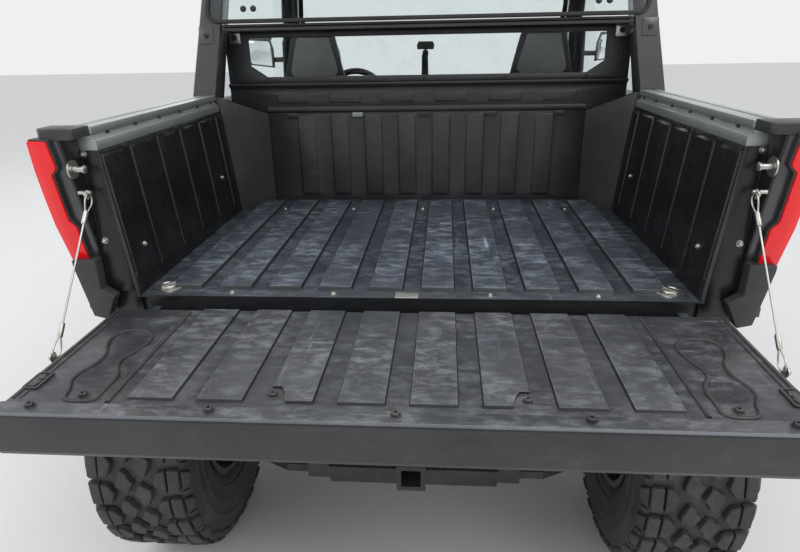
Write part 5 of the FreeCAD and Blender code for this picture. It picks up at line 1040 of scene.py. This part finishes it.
class VEHICLE_OT_gate_cables(bpy.types.Operator):
    """Taut gate cables with crimped eyes at both ends"""
    bl_idname = "vehicle.gate_cables"
    bl_label = "Gate cables"

    def anchors(self, side):
        """The middles of a cable's upper and lower ends."""
        own = [vertex.co for vertex in frame["nodes"]["gate_cables"].data.vertices if vertex.co.x * side > 0]
        slice_height = 0.012
        peak = max(co.z for co in own)
        foot = min(co.z for co in own)
        return (average([co for co in own if co.z > peak - slice_height]),
                average([co for co in own if co.z < foot + slice_height]))

    def execute(self, context):
        radius = context.scene.vehicle_sizes.cable_radius
        anchors = {side: self.anchors(side) for side in (-1, 1)}
        for side, name in ((-1, "left"), (1, "right")):
            top, end = anchors[side]
            along = (end - top).normalized()
            out = Vector((1, 0, 0))
            cross = along.cross(out).normalized()
            parts = []
            for anchor, way in ((top, along), (end, -along)):
                loop = [anchor + cross * across + way * ahead for across, ahead in HALF_EYE]
                loop += [anchor - cross * across + way * ahead for across, ahead in reversed(HALF_EYE[:-1])]
                parts.append(wire(loop, radius * 0.9))
                sleeve = turned([(0.0, -0.016), (0.0042, -0.016), (0.0052, -0.013), (0.0052, 0.013),
                                 (0.0042, 0.016), (0.0, 0.016)], 16)
                for vertex in sleeve.data.vertices:
                    vertex.co.x *= 1.25
                turn = Matrix((cross, out, way)).transposed().to_4x4()
                sleeve.data.transform(Matrix.Translation(anchor + way * 0.058) @ turn)
                parts.append(sleeve)
            count = 14
            first, last = top + along * 0.06, end - along * 0.06
            parts.append(wire([first.lerp(last, step / count) for step in range(count + 1)], radius, steps=2))
            piece = joined(parts)
            only(piece)
            bpy.ops.object.transform_apply(location=True, rotation=True, scale=True)
            bpy.ops.object.shade_smooth_by_angle(angle=math.radians(50))
            piece.name = "gate_cable_" + name
            piece.data.name = piece.name
            give(piece, "zinc")
            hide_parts("gate_cables")
            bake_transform(piece)
        stud = screw_model(0.0085, 0.006)
        for row, (name, body) in enumerate((("cable_studs_bed", "bed"), ("cable_studs_gate", "tailgate"))):
            places = [standing(anchors[side][row] + Vector((side * 0.004, 0, 0)), Vector((side, 0, 0)))
                      for side in (-1, 1)]
            spread(stud, places, name, body, "zinc")
        drop(stud)
        return {"FINISHED"}


def parts_of(node):
    """A merged copy of a node, split into its separate solids, lowest X first."""
    merged_copy(node)
    bpy.ops.mesh.separate(type="LOOSE")
    leave()
    return sorted(bpy.context.selected_objects, key=lambda item: sum(vertex.co.x for vertex in item.data.vertices)
                  / len(item.data.vertices))


def extent(piece):
    cos = [vertex.co for vertex in piece.data.vertices]
    return (Vector(tuple(min(co[axis] for co in cos) for axis in range(3))),
            Vector(tuple(max(co[axis] for co in cos) for axis in range(3))))


SWELLING_FRAMES = 20  # how long the padding simulation runs


def stuffed(piece, voxel, cap, shrink, held):
    """Padding by a cloth simulation: a shrunk, remeshed copy swells while its held part stays."""
    low, high = extent(piece)
    middle, size = (low + high) / 2, high - low
    piece.data.transform(Matrix.Translation(middle) @ Matrix.Diagonal(
        tuple((length - 2 * shrink) / length for length in size) + (1.0,)) @ Matrix.Translation(-middle))
    use(piece, "REMESH", mode="VOXEL", voxel_size=voxel)
    use(piece, "SMOOTH", factor=0.5, iterations=3)
    rest = [vertex.co.copy() for vertex in piece.data.vertices]
    pins = piece.vertex_groups.new(name="held")
    pins.add([vertex.index for vertex in piece.data.vertices if held(vertex.co)], 1.0, "REPLACE")
    only(piece)
    cloth = piece.modifiers.new("Padding", "CLOTH")
    cloth.settings.quality = 4
    cloth.settings.use_pressure = True
    cloth.settings.uniform_pressure_force = 4.0
    cloth.settings.tension_stiffness = 25.0
    cloth.settings.compression_stiffness = 25.0
    cloth.settings.vertex_group_mass = "held"
    cloth.settings.effector_weights.gravity = 0.0
    cloth.point_cache.frame_start = 1
    cloth.point_cache.frame_end = SWELLING_FRAMES
    for count in range(1, SWELLING_FRAMES + 1):
        bpy.context.scene.frame_set(count)
    graph = bpy.context.evaluated_depsgraph_get()
    swollen = [vertex.co.copy() for vertex in piece.evaluated_get(graph).data.vertices]
    bpy.ops.object.modifier_apply(modifier=cloth.name)
    for vertex, start, now in zip(piece.data.vertices, rest, swollen):
        move = now - start
        if move.length > cap:
            move = move * (cap / move.length)
        vertex.co = start + move
    piece.vertex_groups.clear()
    bpy.context.scene.frame_set(1)
    use(piece, "SUBSURF", levels=1, render_levels=1)
    return piece


def sewn(piece, lines, facing, depth=0.006, width=0.007):
    """Sink stitched channels: each line is (axis, place, along, low, high), on the facing side."""
    for vertex in piece.data.vertices:
        if vertex.normal.dot(facing) < 0.25:
            continue
        sunk = 0.0
        for axis, place, along, low, high in lines:
            if low <= vertex.co[along] <= high:
                sunk = max(sunk, math.exp(-((vertex.co[axis] - place) / width) ** 2))
        vertex.co -= facing * sunk * depth


def second_finish(piece, name, chosen):
    """A second finish on the faces for which chosen(centre, normal) holds."""
    piece.data.materials.append(None)
    number = len(piece.material_slots) - 1
    extra = piece.material_slots[number]
    extra.link = "OBJECT"
    extra.material = MATERIALS[name]
    for face in piece.data.polygons:
        if chosen(face.center, face.normal):
            face.material_index = number


def bench_row(node, prefix, axis, padding, ends, rows, facing, panel_start):
    """The bench's three cushions or backs, with long seams along an axis, cross seams and a panel between them."""
    cap, shrink, held = padding
    for spot, piece in zip(("left", "middle", "right"), parts_of(node)):
        low, high = extent(piece)
        centre = (low.x + high.x) / 2
        inset = (high.x - low.x) * 0.26
        stuffed(piece, 0.012, cap, shrink, lambda co: co.z < low.z + held)
        sewn(piece, [(0, centre + way * inset, axis, low[axis] + ends[0], high[axis] - ends[1]) for way in (-1, 1)]
             + [(axis, low[axis] + row, 0, centre - inset, centre + inset) for row in rows], facing)
        settle(piece, prefix + spot, "chassis", "seat_vinyl", angle=80.0)
        second_finish(piece, "seat_panel",
                      lambda middle, normal: normal[3 - axis] > 0.6 and abs(middle.x - centre) < inset
                      and middle[axis] > low[axis] + panel_start)
        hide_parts(node)


class VEHICLE_OT_seats(bpy.types.Operator):
    """Padded bench cushions, backs and headrests with sewn channels and grey inserts"""
    bl_idname = "vehicle.seats"
    bl_label = "Seats"

    def execute(self, context):
        bench_row("seat_cushions", "cushion_", 1, (0.022, 0.014, 0.022), (0.04, 0.0), [0.09, 0.18, 0.27, 0.36],
                  Vector((0, 0, 1)), -1.0)
        bench_row("seat_backs", "seat_back_", 2, (0.02, 0.012, 0.03), (0.14, 0.05),
                  [0.14 + 0.085 * row for row in range(5)], Vector((0, 0.99, 0.14)), 0.14)
        for spot, piece in zip(("left", "right"), parts_of("headrests")):
            low, high = extent(piece)
            centre = (low.x + high.x) / 2
            stuffed(piece, 0.007, 0.012, 0.006, lambda co: co.z < 1.252)
            sewn(piece, [(0, centre - 0.062, 2, low.z, high.z), (0, centre + 0.062, 2, low.z, high.z)],
                 Vector((0, 1, 0)), 0.004, 0.005)
            settle(piece, "headrest_" + spot, "chassis", "seat_vinyl", angle=80.0)
            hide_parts("headrests")
            rise = Matrix.Translation((centre, 0.038, 1.243)) @ STOOD
            shell = plate(((-0.138, 0.0), (0.138, 0.0), (0.088, 0.208), (-0.088, 0.208)), 0.016, 0.004, 0.02)
            settle(shell, "headrest_shell_" + spot, "chassis", "dark_plastic", place=rise)
            panel = plate(((-0.058, 0.012), (0.058, 0.012), (0.1, 0.07), (0.066, 0.193), (-0.066, 0.193),
                           (-0.1, 0.07)), 0.012, 0.004, 0.004, 2)
            settle(panel, "headrest_panel_" + spot, "chassis", "seat_panel",
                   place=Matrix.Translation((0, -0.014, 0)) @ rise)
        return {"FINISHED"}


def upright(origin, top, sign=1.0):
    """A frame whose X runs across the vehicle, Y up a leaning pane and Z outward from its face."""
    rise = (Vector(top) - Vector(origin)).normalized()
    across = Vector((sign, 0, 0))
    turn = Matrix((across, rise, across.cross(rise))).transposed().to_4x4()
    return Matrix.Translation(origin) @ turn


class VEHICLE_OT_cab_rear(bpy.types.Operator):
    """Rounded upper glass with its rubber edge, bolted lower glass, gussets and brackets"""
    bl_idname = "vehicle.cab_rear"
    bl_label = "Cab rear"

    def execute(self, context):
        place = upright((0, -0.4229, 1.486), (0, -0.3385, 1.918))
        outline = ((-0.757, 0.004), (0.757, 0.004), (0.687, 0.428), (-0.687, 0.428))
        glass = plate(outline, 0.006, 0.001, 0.05, 10)
        settle(glass, "upper_glass", "chassis", "window_glass", place=place @ Matrix.Translation((0, 0, -0.0062)))
        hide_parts("rear_glass")
        seal = ring_plate(outline, 0.013, 0.01, 0.002, 0.05, 10)
        settle(seal, "upper_glass_seal", "chassis", "rubber_seal",
               place=place @ Matrix.Translation((0, 0, -0.008)))
        shelf = plate(((-0.705, -0.068), (0.705, -0.068), (0.69, 0.068), (-0.69, 0.068)), 0.008, 0.002, 0.004)
        settle(shelf, "window_shelf", "chassis", "rubber_seal",
               place=upright((0, -0.352, 1.4685), (0, -0.452, 1.4835), -1.0))
        lower = plate(((-0.66, 1.3), (0.66, 1.3), (0.66, 1.452), (-0.66, 1.452)), 0.005, 0.001, 0.01)
        settle(lower, "lower_glass", "chassis", "window_glass", place=Matrix.Translation((0, -0.2675, 0)) @ STOOD)
        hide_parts("rear_glass")
        tab_height = 0.0038
        bolt = screw_model(0.0075, 0.005)
        for node, x, z, half, corner, name, finish, bolts in (
                ("rear_window", 0.7, 1.444, (0.022, 0.02), 0.004, "window_brackets", "zinc", "bracket_bolts"),
                ("cab_frame", 0.752, 1.452, (0.026, 0.028), 0.003, "cab_gussets", "body_paint", "gusset_bolts")):
            tree = tree_of(node)
            hits = [landing(tree, (side * x, -1.0, z), (0, 1, 0)) for side in (-1, 1)]
            tab = plate(oblong(*half), tab_height, 0.001, corner)
            spread(tab, [standing(point, normal) for point, normal in hits], name, "chassis", finish)
            places = [standing(point + normal * (tab_height - 0.0003), normal, 0.0, side)
                      for side, (point, normal) in zip((-1, 1), hits)]
            spread(bolt, places, bolts, "chassis", "steel_black")
            drop(tab)
        drop(bolt)
        return {"FINISHED"}


class VEHICLE_OT_cab_front(bpy.types.Operator):
    """Windshield edge, wiper, mirror glass, lever boot, and the dash's screens, vents and switches"""
    bl_idname = "vehicle.cab_front"
    bl_label = "Cab front"

    def execute(self, context):
        place = upright((0, 0.914, 1.12), (0, 0.62, 1.89), -1.0)
        seal = ring_plate(((-0.732, 0.002), (0.732, 0.002), (0.64, 0.82), (-0.64, 0.82)), 0.022, 0.007, 0.002, 0.03)
        settle(seal, "windshield_seal", "chassis", "rubber_seal",
               place=place @ Matrix.Translation((0, 0, -0.001)))
        arm = plate(((-0.008, 0.0), (0.008, 0.0), (0.005, 0.36), (-0.005, 0.36)), 0.006, 0.002, 0.004)
        blade = plate(((-0.005, 0.12), (0.005, 0.12), (0.004, 0.52), (-0.004, 0.52)), 0.01, 0.002, 0.003)
        hub = turned([(0.0, 0.0), (0.02, 0.0), (0.019, 0.014), (0.012, 0.018), (0.0, 0.018)], 24)
        settle(joined([arm, blade, hub]), "wiper", "chassis", "steel_black",
               place=place @ Matrix.Translation((0.2, 0.035, 0.001)) @ Matrix.Rotation(-1.5, 4, "Z"))
        outline = ((0.884, 1.313), (1.0, 1.326), (1.009, 1.358), (1.001, 1.428), (0.892, 1.421), (0.882, 1.385))
        for side, name in ((1, "right"), (-1, "left")):
            pane = plate([(side * x, z) for x, z in outline][::side], 0.003, 0.0008, 0.008)
            settle(pane, "mirror_glass_" + name, "chassis", "mirror_face",
                   place=Matrix.Translation((0, 0.9005, 0)) @ STOOD)
        knob = average([vertex.co for vertex in frame["nodes"]["controls"].data.vertices if vertex.co.z > 1.3])
        boot = turned([(0.0, 0.0), (0.062, 0.0), (0.058, 0.012), (0.046, 0.05), (0.04, 0.085), (0.024, 0.098),
                       (0.016, 0.12), (0.014, 0.2), (0.0125, knob.z - 1.16), (0.0, knob.z - 1.16)], 28)
        for vertex in boot.data.vertices:
            vertex.co.x *= 1.15
        settle(boot, "lever_boot", "chassis", "rubber_seal", angle=50.0,
               place=Matrix.Translation((knob.x, knob.y, 1.15)))
        dash = tree_of("dash")
        for name, x, z, wide, tall in (("centre_screen", 0.0, 1.06, 0.21, 0.11),
                                       ("gauge_screen", -0.405, 1.12, 0.13, 0.05)):
            point, normal = landing(dash, (x, 0.3, z), (0, 1, 0))
            bezel = plate(oblong(wide / 2, tall / 2), 0.008, 0.003, 0.01)
            settle(bezel, name + "_bezel", "chassis", "dark_plastic", place=standing(point, normal, 0.002))
            inner = plate(oblong(wide * 0.44, tall * 0.4), 0.003, 0.001, 0.005)
            settle(inner, name, "chassis", "screen",
                   place=standing(point + normal * 0.0055, normal))
        rim = ring_plate(oblong(0.055, 0.032), 0.006, 0.012, 0.002, 0.01)
        slat = plate(oblong(0.05, 0.0015), 0.01, 0.0008, 0.0005, 1)
        slats = [copy_of(slat, Matrix.Translation((0, -0.02 + 0.01 * row, 0.0))) for row in range(5)]
        vent = joined([rim, slat] + slats)
        places = landed(dash, [(x, 0.3, 1.085) for x in (-0.62, -0.19, 0.19, 0.62)], (0, 1, 0), 0.003)
        spread(vent, places, "dash_vents", "chassis", "dark_plastic")
        rocker = plate(oblong(0.011, 0.018), 0.008, 0.003, 0.003)
        places = landed(dash, [(x, 0.3, 1.03) for x in (0.26, 0.295, 0.33, 0.365, 0.4)], (0, 1, 0), 0.002)
        spread(rocker, places, "dash_switches", "chassis", "wall_plastic")
        drop(vent, rocker)
        return {"FINISHED"}


class VEHICLE_OT_nose(bpy.types.Operator):
    """Lamp reflectors and lenses, and the radiator behind the grille"""
    bl_idname = "vehicle.nose"
    bl_label = "Nose"

    def execute(self, context):
        lamps = tree_of("headlamps")
        bowl = turned([(0.0, 0.001), (0.012, 0.002), (0.02, 0.007), (0.023, 0.009), (0.0255, 0.008), (0.026, 0.0),
                       (0.0, -0.001)], 32)
        dome = turned([(0.0, 0.014), (0.006, 0.0132), (0.011, 0.011), (0.0145, 0.006), (0.0155, 0.0), (0.0, 0.0)], 24)
        starts = [(side * x, 2.2, 0.803) for side in (-1, 1) for x in (0.5, 0.56, 0.62)]
        spread(bowl, landed(lamps, starts, (0, -1, 0), 0.0015), "lamp_reflectors", "chassis", "chrome")
        spread(dome, landed(lamps, starts, (0, -1, 0), -0.001), "lamp_lenses", "chassis", "lamp_clear")
        drop(bowl, dome)
        fin = block(oblong(0.001, 0.012), 0.21)
        use(fin, "ARRAY", count=46, use_relative_offset=False, use_constant_offset=True,
            constant_offset_displace=(0.013, 0.0, 0.0))
        fin.data.transform(Matrix.Translation((-0.2925, 1.58, 0.69)))
        tube = plate(oblong(0.3, 0.008), 0.003, 0.001, 0.002, 1)
        tubes = [copy_of(tube, Matrix.Translation((0, 1.58, 0.7 + 0.032 * row))) for row in range(7)]
        drop(tube)
        settle(joined([fin] + tubes), "radiator", "chassis", "engine_metal")
        return {"FINISHED"}


class VEHICLE_OT_running_gear(bpy.types.Operator):
    """Coil springs over the shocks and rubber boots on the half shafts"""
    bl_idname = "vehicle.running_gear"
    bl_label = "Running gear"

    def execute(self, context):
        springs = []
        for piece in parts_of("shocks"):
            cos = sorted((vertex.co for vertex in piece.data.vertices), key=lambda co: co.z)
            count = max(6, len(cos) // 6)
            foot, head = average(cos[:count]), average(cos[-count:])
            way = (head - foot).normalized()
            reach = max(((Vector(co) - foot) - way * (Vector(co) - foot).dot(way)).length for co in cos)
            length = (head - foot).length
            only()
            bpy.ops.mesh.primitive_circle_add(vertices=8, radius=0.0045, fill_type="NOTHING",
                                              location=(reach - 0.002, 0, 0), rotation=(math.radians(90), 0, 0))
            coil = bpy.context.object
            bpy.ops.object.transform_apply(location=True, rotation=True)
            use(coil, "SCREW", angle=math.tau, screw_offset=length * 0.52 / 9, iterations=9, steps=22,
                render_steps=22, axis="Z", use_merge_vertices=True, merge_threshold=0.00001)
            edit(coil)
            bpy.ops.mesh.fill_holes(sides=12)
            leave(outward=True)
            turn = way.to_track_quat("Z", "Y").to_matrix().to_4x4()
            coil.data.transform(Matrix.Translation(foot + way * length * 0.33) @ turn)
            springs.append(coil)
            drop(piece)
        settle(joined(springs), "coil_springs", "chassis", "shock_paint", angle=60.0)
        profile = [(0.016, 0.0), (0.024, 0.002)]
        for row in range(5):
            wide = 0.03 + 0.005 * row
            profile += [(wide, 0.008 + row * 0.014), (wide - 0.008, 0.015 + row * 0.014)]
        profile += [(0.052, 0.08), (0.052, 0.1), (0.0, 0.1), (0.0, 0.0), (0.016, 0.0)]
        boot = turned(profile, 28)
        low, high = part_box("half_shafts")
        places = [standing((side * 0.3, y, (low.z + high.z) / 2), Vector((-side, 0, 0)))
                  for side in (-1, 1) for y in (low.y + 0.014, high.y - 0.014)]
        spread(boot, places, "shaft_boots", "chassis", "rubber_seal")
        drop(boot)
        return {"FINISHED"}


def parted(piece, point, normal):
    """Cut every face along a plane, keeping both sides."""
    edit(piece)
    bpy.ops.mesh.bisect(plane_co=point, plane_no=normal)
    leave()


def clear_ridges(piece, low, high):
    """Take the plain pressed outlines off the outer panels and close the skin under them."""
    inner, outer, rear = 0.5, 0.7, -1.735
    work = bmesh.new()
    work.from_mesh(piece.data)
    gone = [vertex for vertex in work.verts if inner < abs(vertex.co.x) < outer and low < vertex.co.z < high
            and vertex.co.y > rear]
    bmesh.ops.delete(work, geom=gone, context="VERTS")
    for side in (-1, 1):
        rim = [edge for edge in work.edges if edge.is_boundary and edge.verts[0].co.x * side > 0]
        if rim:
            bmesh.ops.triangle_fill(work, edges=rim, use_beauty=True, use_dissolve=False)
    bmesh.ops.recalc_face_normals(work, faces=work.faces)
    open_edges = sum(edge.is_boundary for edge in work.edges)
    work.to_mesh(piece.data)
    work.free()
    if open_edges:
        raise RuntimeError(piece.name + " was left open after its ridges went")


class VEHICLE_OT_rear_corners(bpy.types.Operator):
    """Wrap-round tail lamp lenses in their bezels, black posts and the two-tone bed walls"""
    bl_idname = "vehicle.rear_corners"
    bl_label = "Rear corners"

    def execute(self, context):
        outline = ((0.786, 1.236), (0.8285, 1.238), (0.8355, 1.17), (0.838, 1.1), (0.8385, 1.035), (0.8295, 0.938),
                   (0.788, 0.93), (0.788, 1.029), (0.8015, 1.046), (0.8, 1.159), (0.7835, 1.175))
        for side, name in ((1, "right"), (-1, "left")):
            lens = plate([(side * x, z) for x, z in outline], 0.05, 0.0025, 0.004, 3)
            rim = [(side * (x - 0.005 if x < 0.81 else x - 0.0025), z + (0.004 if z > 1.2 else
                    -0.004 if z < 0.95 else 0.0)) for x, z in outline]
            bezel = plate(rim, 0.03, 0.0015, 0.003, 3)
            for piece, back in ((lens, 0.0), (bezel, 0.0045)):
                for vertex in piece.data.vertices:
                    x, z, depth = vertex.co
                    if depth > 0.03 and abs(x) > 0.82:
                        x = side * 0.8265
                    vertex.co = (x, -1.363 + 0.215 * (1.243 - z) + depth + back, z)
                piece.data.flip_normals()
            settle(lens, "tail_lens_" + name, "bed", "lamp_red")
            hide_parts("tail_lamps")
            settle(bezel, "tail_bezel_" + name, "bed", "steel_black")
            foot = plate([(side * x, z) for x, z in ((0.684, 0.784), (0.766, 0.784), (0.766, 0.9), (0.684, 0.9))],
                         0.012, 0.002, 0.004, 2)
            settle(foot, "post_foot_" + name, "bed", "wall_plastic",
                   place=Matrix.Translation((0, -1.263, 0)) @ STOOD)
        sides = bpy.data.objects["bed_sides_shell"]
        post_edge = 0.768
        for side in (-1, 1):
            parted(sides, (side * post_edge, 0, 0), (1, 0, 0))
        second_finish(sides, "wall_plastic", lambda middle, normal: abs(middle.x) < post_edge and middle.y < -1.2)
        walls = bpy.data.objects["bed_walls_shell"]
        second_finish(walls, "dark_plastic", lambda middle, normal: (normal.y < -0.7 and abs(middle.x) > 0.66)
                      or (middle.y > -0.52 and normal.y < -0.25))
        return {"FINISHED"}


KEYHOLE = ((0.6, -1.442), (0.638, -1.437), (0.658, -1.47), (0.65, -1.515), (0.628, -1.548), (0.626, -1.59),
           (0.643, -1.632), (0.641, -1.663), (0.624, -1.69), (0.62, -1.728), (0.556, -1.728), (0.558, -1.695),
           (0.557, -1.664), (0.559, -1.631), (0.581, -1.6), (0.584, -1.57), (0.568, -1.53), (0.56, -1.49),
           (0.57, -1.455), (0.6, -1.442))


class VEHICLE_OT_gate_latches(bpy.types.Operator):
    """Embossed ridges of the gate's outer panels and the latch pockets at both ends"""
    bl_idname = "vehicle.gate_latches"
    bl_label = "Gate latches"

    def execute(self, context):
        liner = bpy.data.objects["gate_inner_shell"]
        clear_ridges(liner, GATE_SKIN + 0.0003, GATE_SKIN + 0.0045)
        for side, name in ((-1, "left"), (1, "right")):
            ridges = [wire([(side * x, y, GATE_SKIN) for x, y in KEYHOLE], 0.0042, steps=3)]
            for x, start, end, radius in ((0.531, -1.345, -1.728, 0.0046), (0.716, -1.335, -1.722, 0.003),
                                          (0.702, -1.335, -1.722, 0.002)):
                line = [(side * x, start + (end - start) * step / 4, GATE_SKIN) for step in range(5)]
                ridges.append(wire(line, radius, steps=1))
            # The ridges' darker dark_plastic finish paints the dark shadow outline they show along their sides.
            settle(joined(ridges), "gate_ridges_" + name, "tailgate", "dark_plastic", angle=50.0)
        gate = tree_of("gate_shell", "gate_inner")
        pocket = ring_plate(oblong(0.016, 0.03), 0.005, 0.0045, 0.0012, 0.006)
        claw = plate(((-0.009, -0.02), (0.004, -0.022), (0.009, -0.006), (0.001, 0.0), (0.009, 0.008), (0.003, 0.022),
                      (-0.009, 0.02)), 0.003, 0.0008, 0.002)
        bed = plate(oblong(0.0145, 0.0285), 0.0012, 0.0003, 0.004)
        pockets, claws = [], []
        for side in (-1, 1):
            point, normal = landing(gate, (side * 0.705, REAR - 0.385, 1.5), (0, 0, -1))
            pockets.append(Matrix.Translation(point - normal * 0.0004))
            claws.append(Matrix.Translation(point + normal * 0.0006)
                         @ Matrix.Rotation(0.0 if side < 0 else math.pi, 4, "Z"))
        spread(pocket, pockets, "latch_pockets", "tailgate", "steel_black")
        spread(bed, pockets, "latch_beds", "tailgate", "rubber_seal")
        spread(claw, claws, "latch_claws", "tailgate", "steel_black")
        drop(pocket, claw, bed)
        return {"FINISHED"}


class VEHICLE_PT_pieces(bpy.types.Panel):
    """Lists the steps that dress the vehicle"""
    bl_idname = "VEHICLE_PT_pieces"
    bl_label = "Vehicle"
    bl_space_type = "VIEW_3D"
    bl_region_type = "UI"
    bl_category = "Vehicle"

    def draw(self, context):
        for group in (context.scene.vehicle_sizes, context.scene.vehicle_colours):
            box = self.layout.box()
            for name in group.__annotations__:
                box.prop(group, name)
        for step in STEPS:
            self.layout.operator(step.bl_idname)


STEPS = (VEHICLE_OT_finishes, VEHICLE_OT_stage, VEHICLE_OT_shells, VEHICLE_OT_tyres, VEHICLE_OT_wheels,
         VEHICLE_OT_screws, VEHICLE_OT_bed_fittings, VEHICLE_OT_gate_cables, VEHICLE_OT_seats, VEHICLE_OT_cab_rear,
         VEHICLE_OT_cab_front, VEHICLE_OT_nose, VEHICLE_OT_running_gear, VEHICLE_OT_rear_corners,
         VEHICLE_OT_gate_latches)
CLASSES = (VehicleSizes, VehicleColours, *STEPS, VEHICLE_PT_pieces)


def register():
    for item in CLASSES:
        bpy.utils.register_class(item)
    bpy.types.Scene.vehicle_sizes = bpy.props.PointerProperty(type=VehicleSizes)
    bpy.types.Scene.vehicle_colours = bpy.props.PointerProperty(type=VehicleColours)


def unregister():
    del bpy.types.Scene.vehicle_colours
    del bpy.types.Scene.vehicle_sizes
    for item in reversed(CLASSES):
        bpy.utils.unregister_class(item)


def main():
    register()
    for step in STEPS:
        prefix, name = step.bl_idname.split(".")
        getattr(getattr(bpy.ops, prefix), name)()
    bpy.context.view_layer.update()


if __name__ == "__main__":
    main()
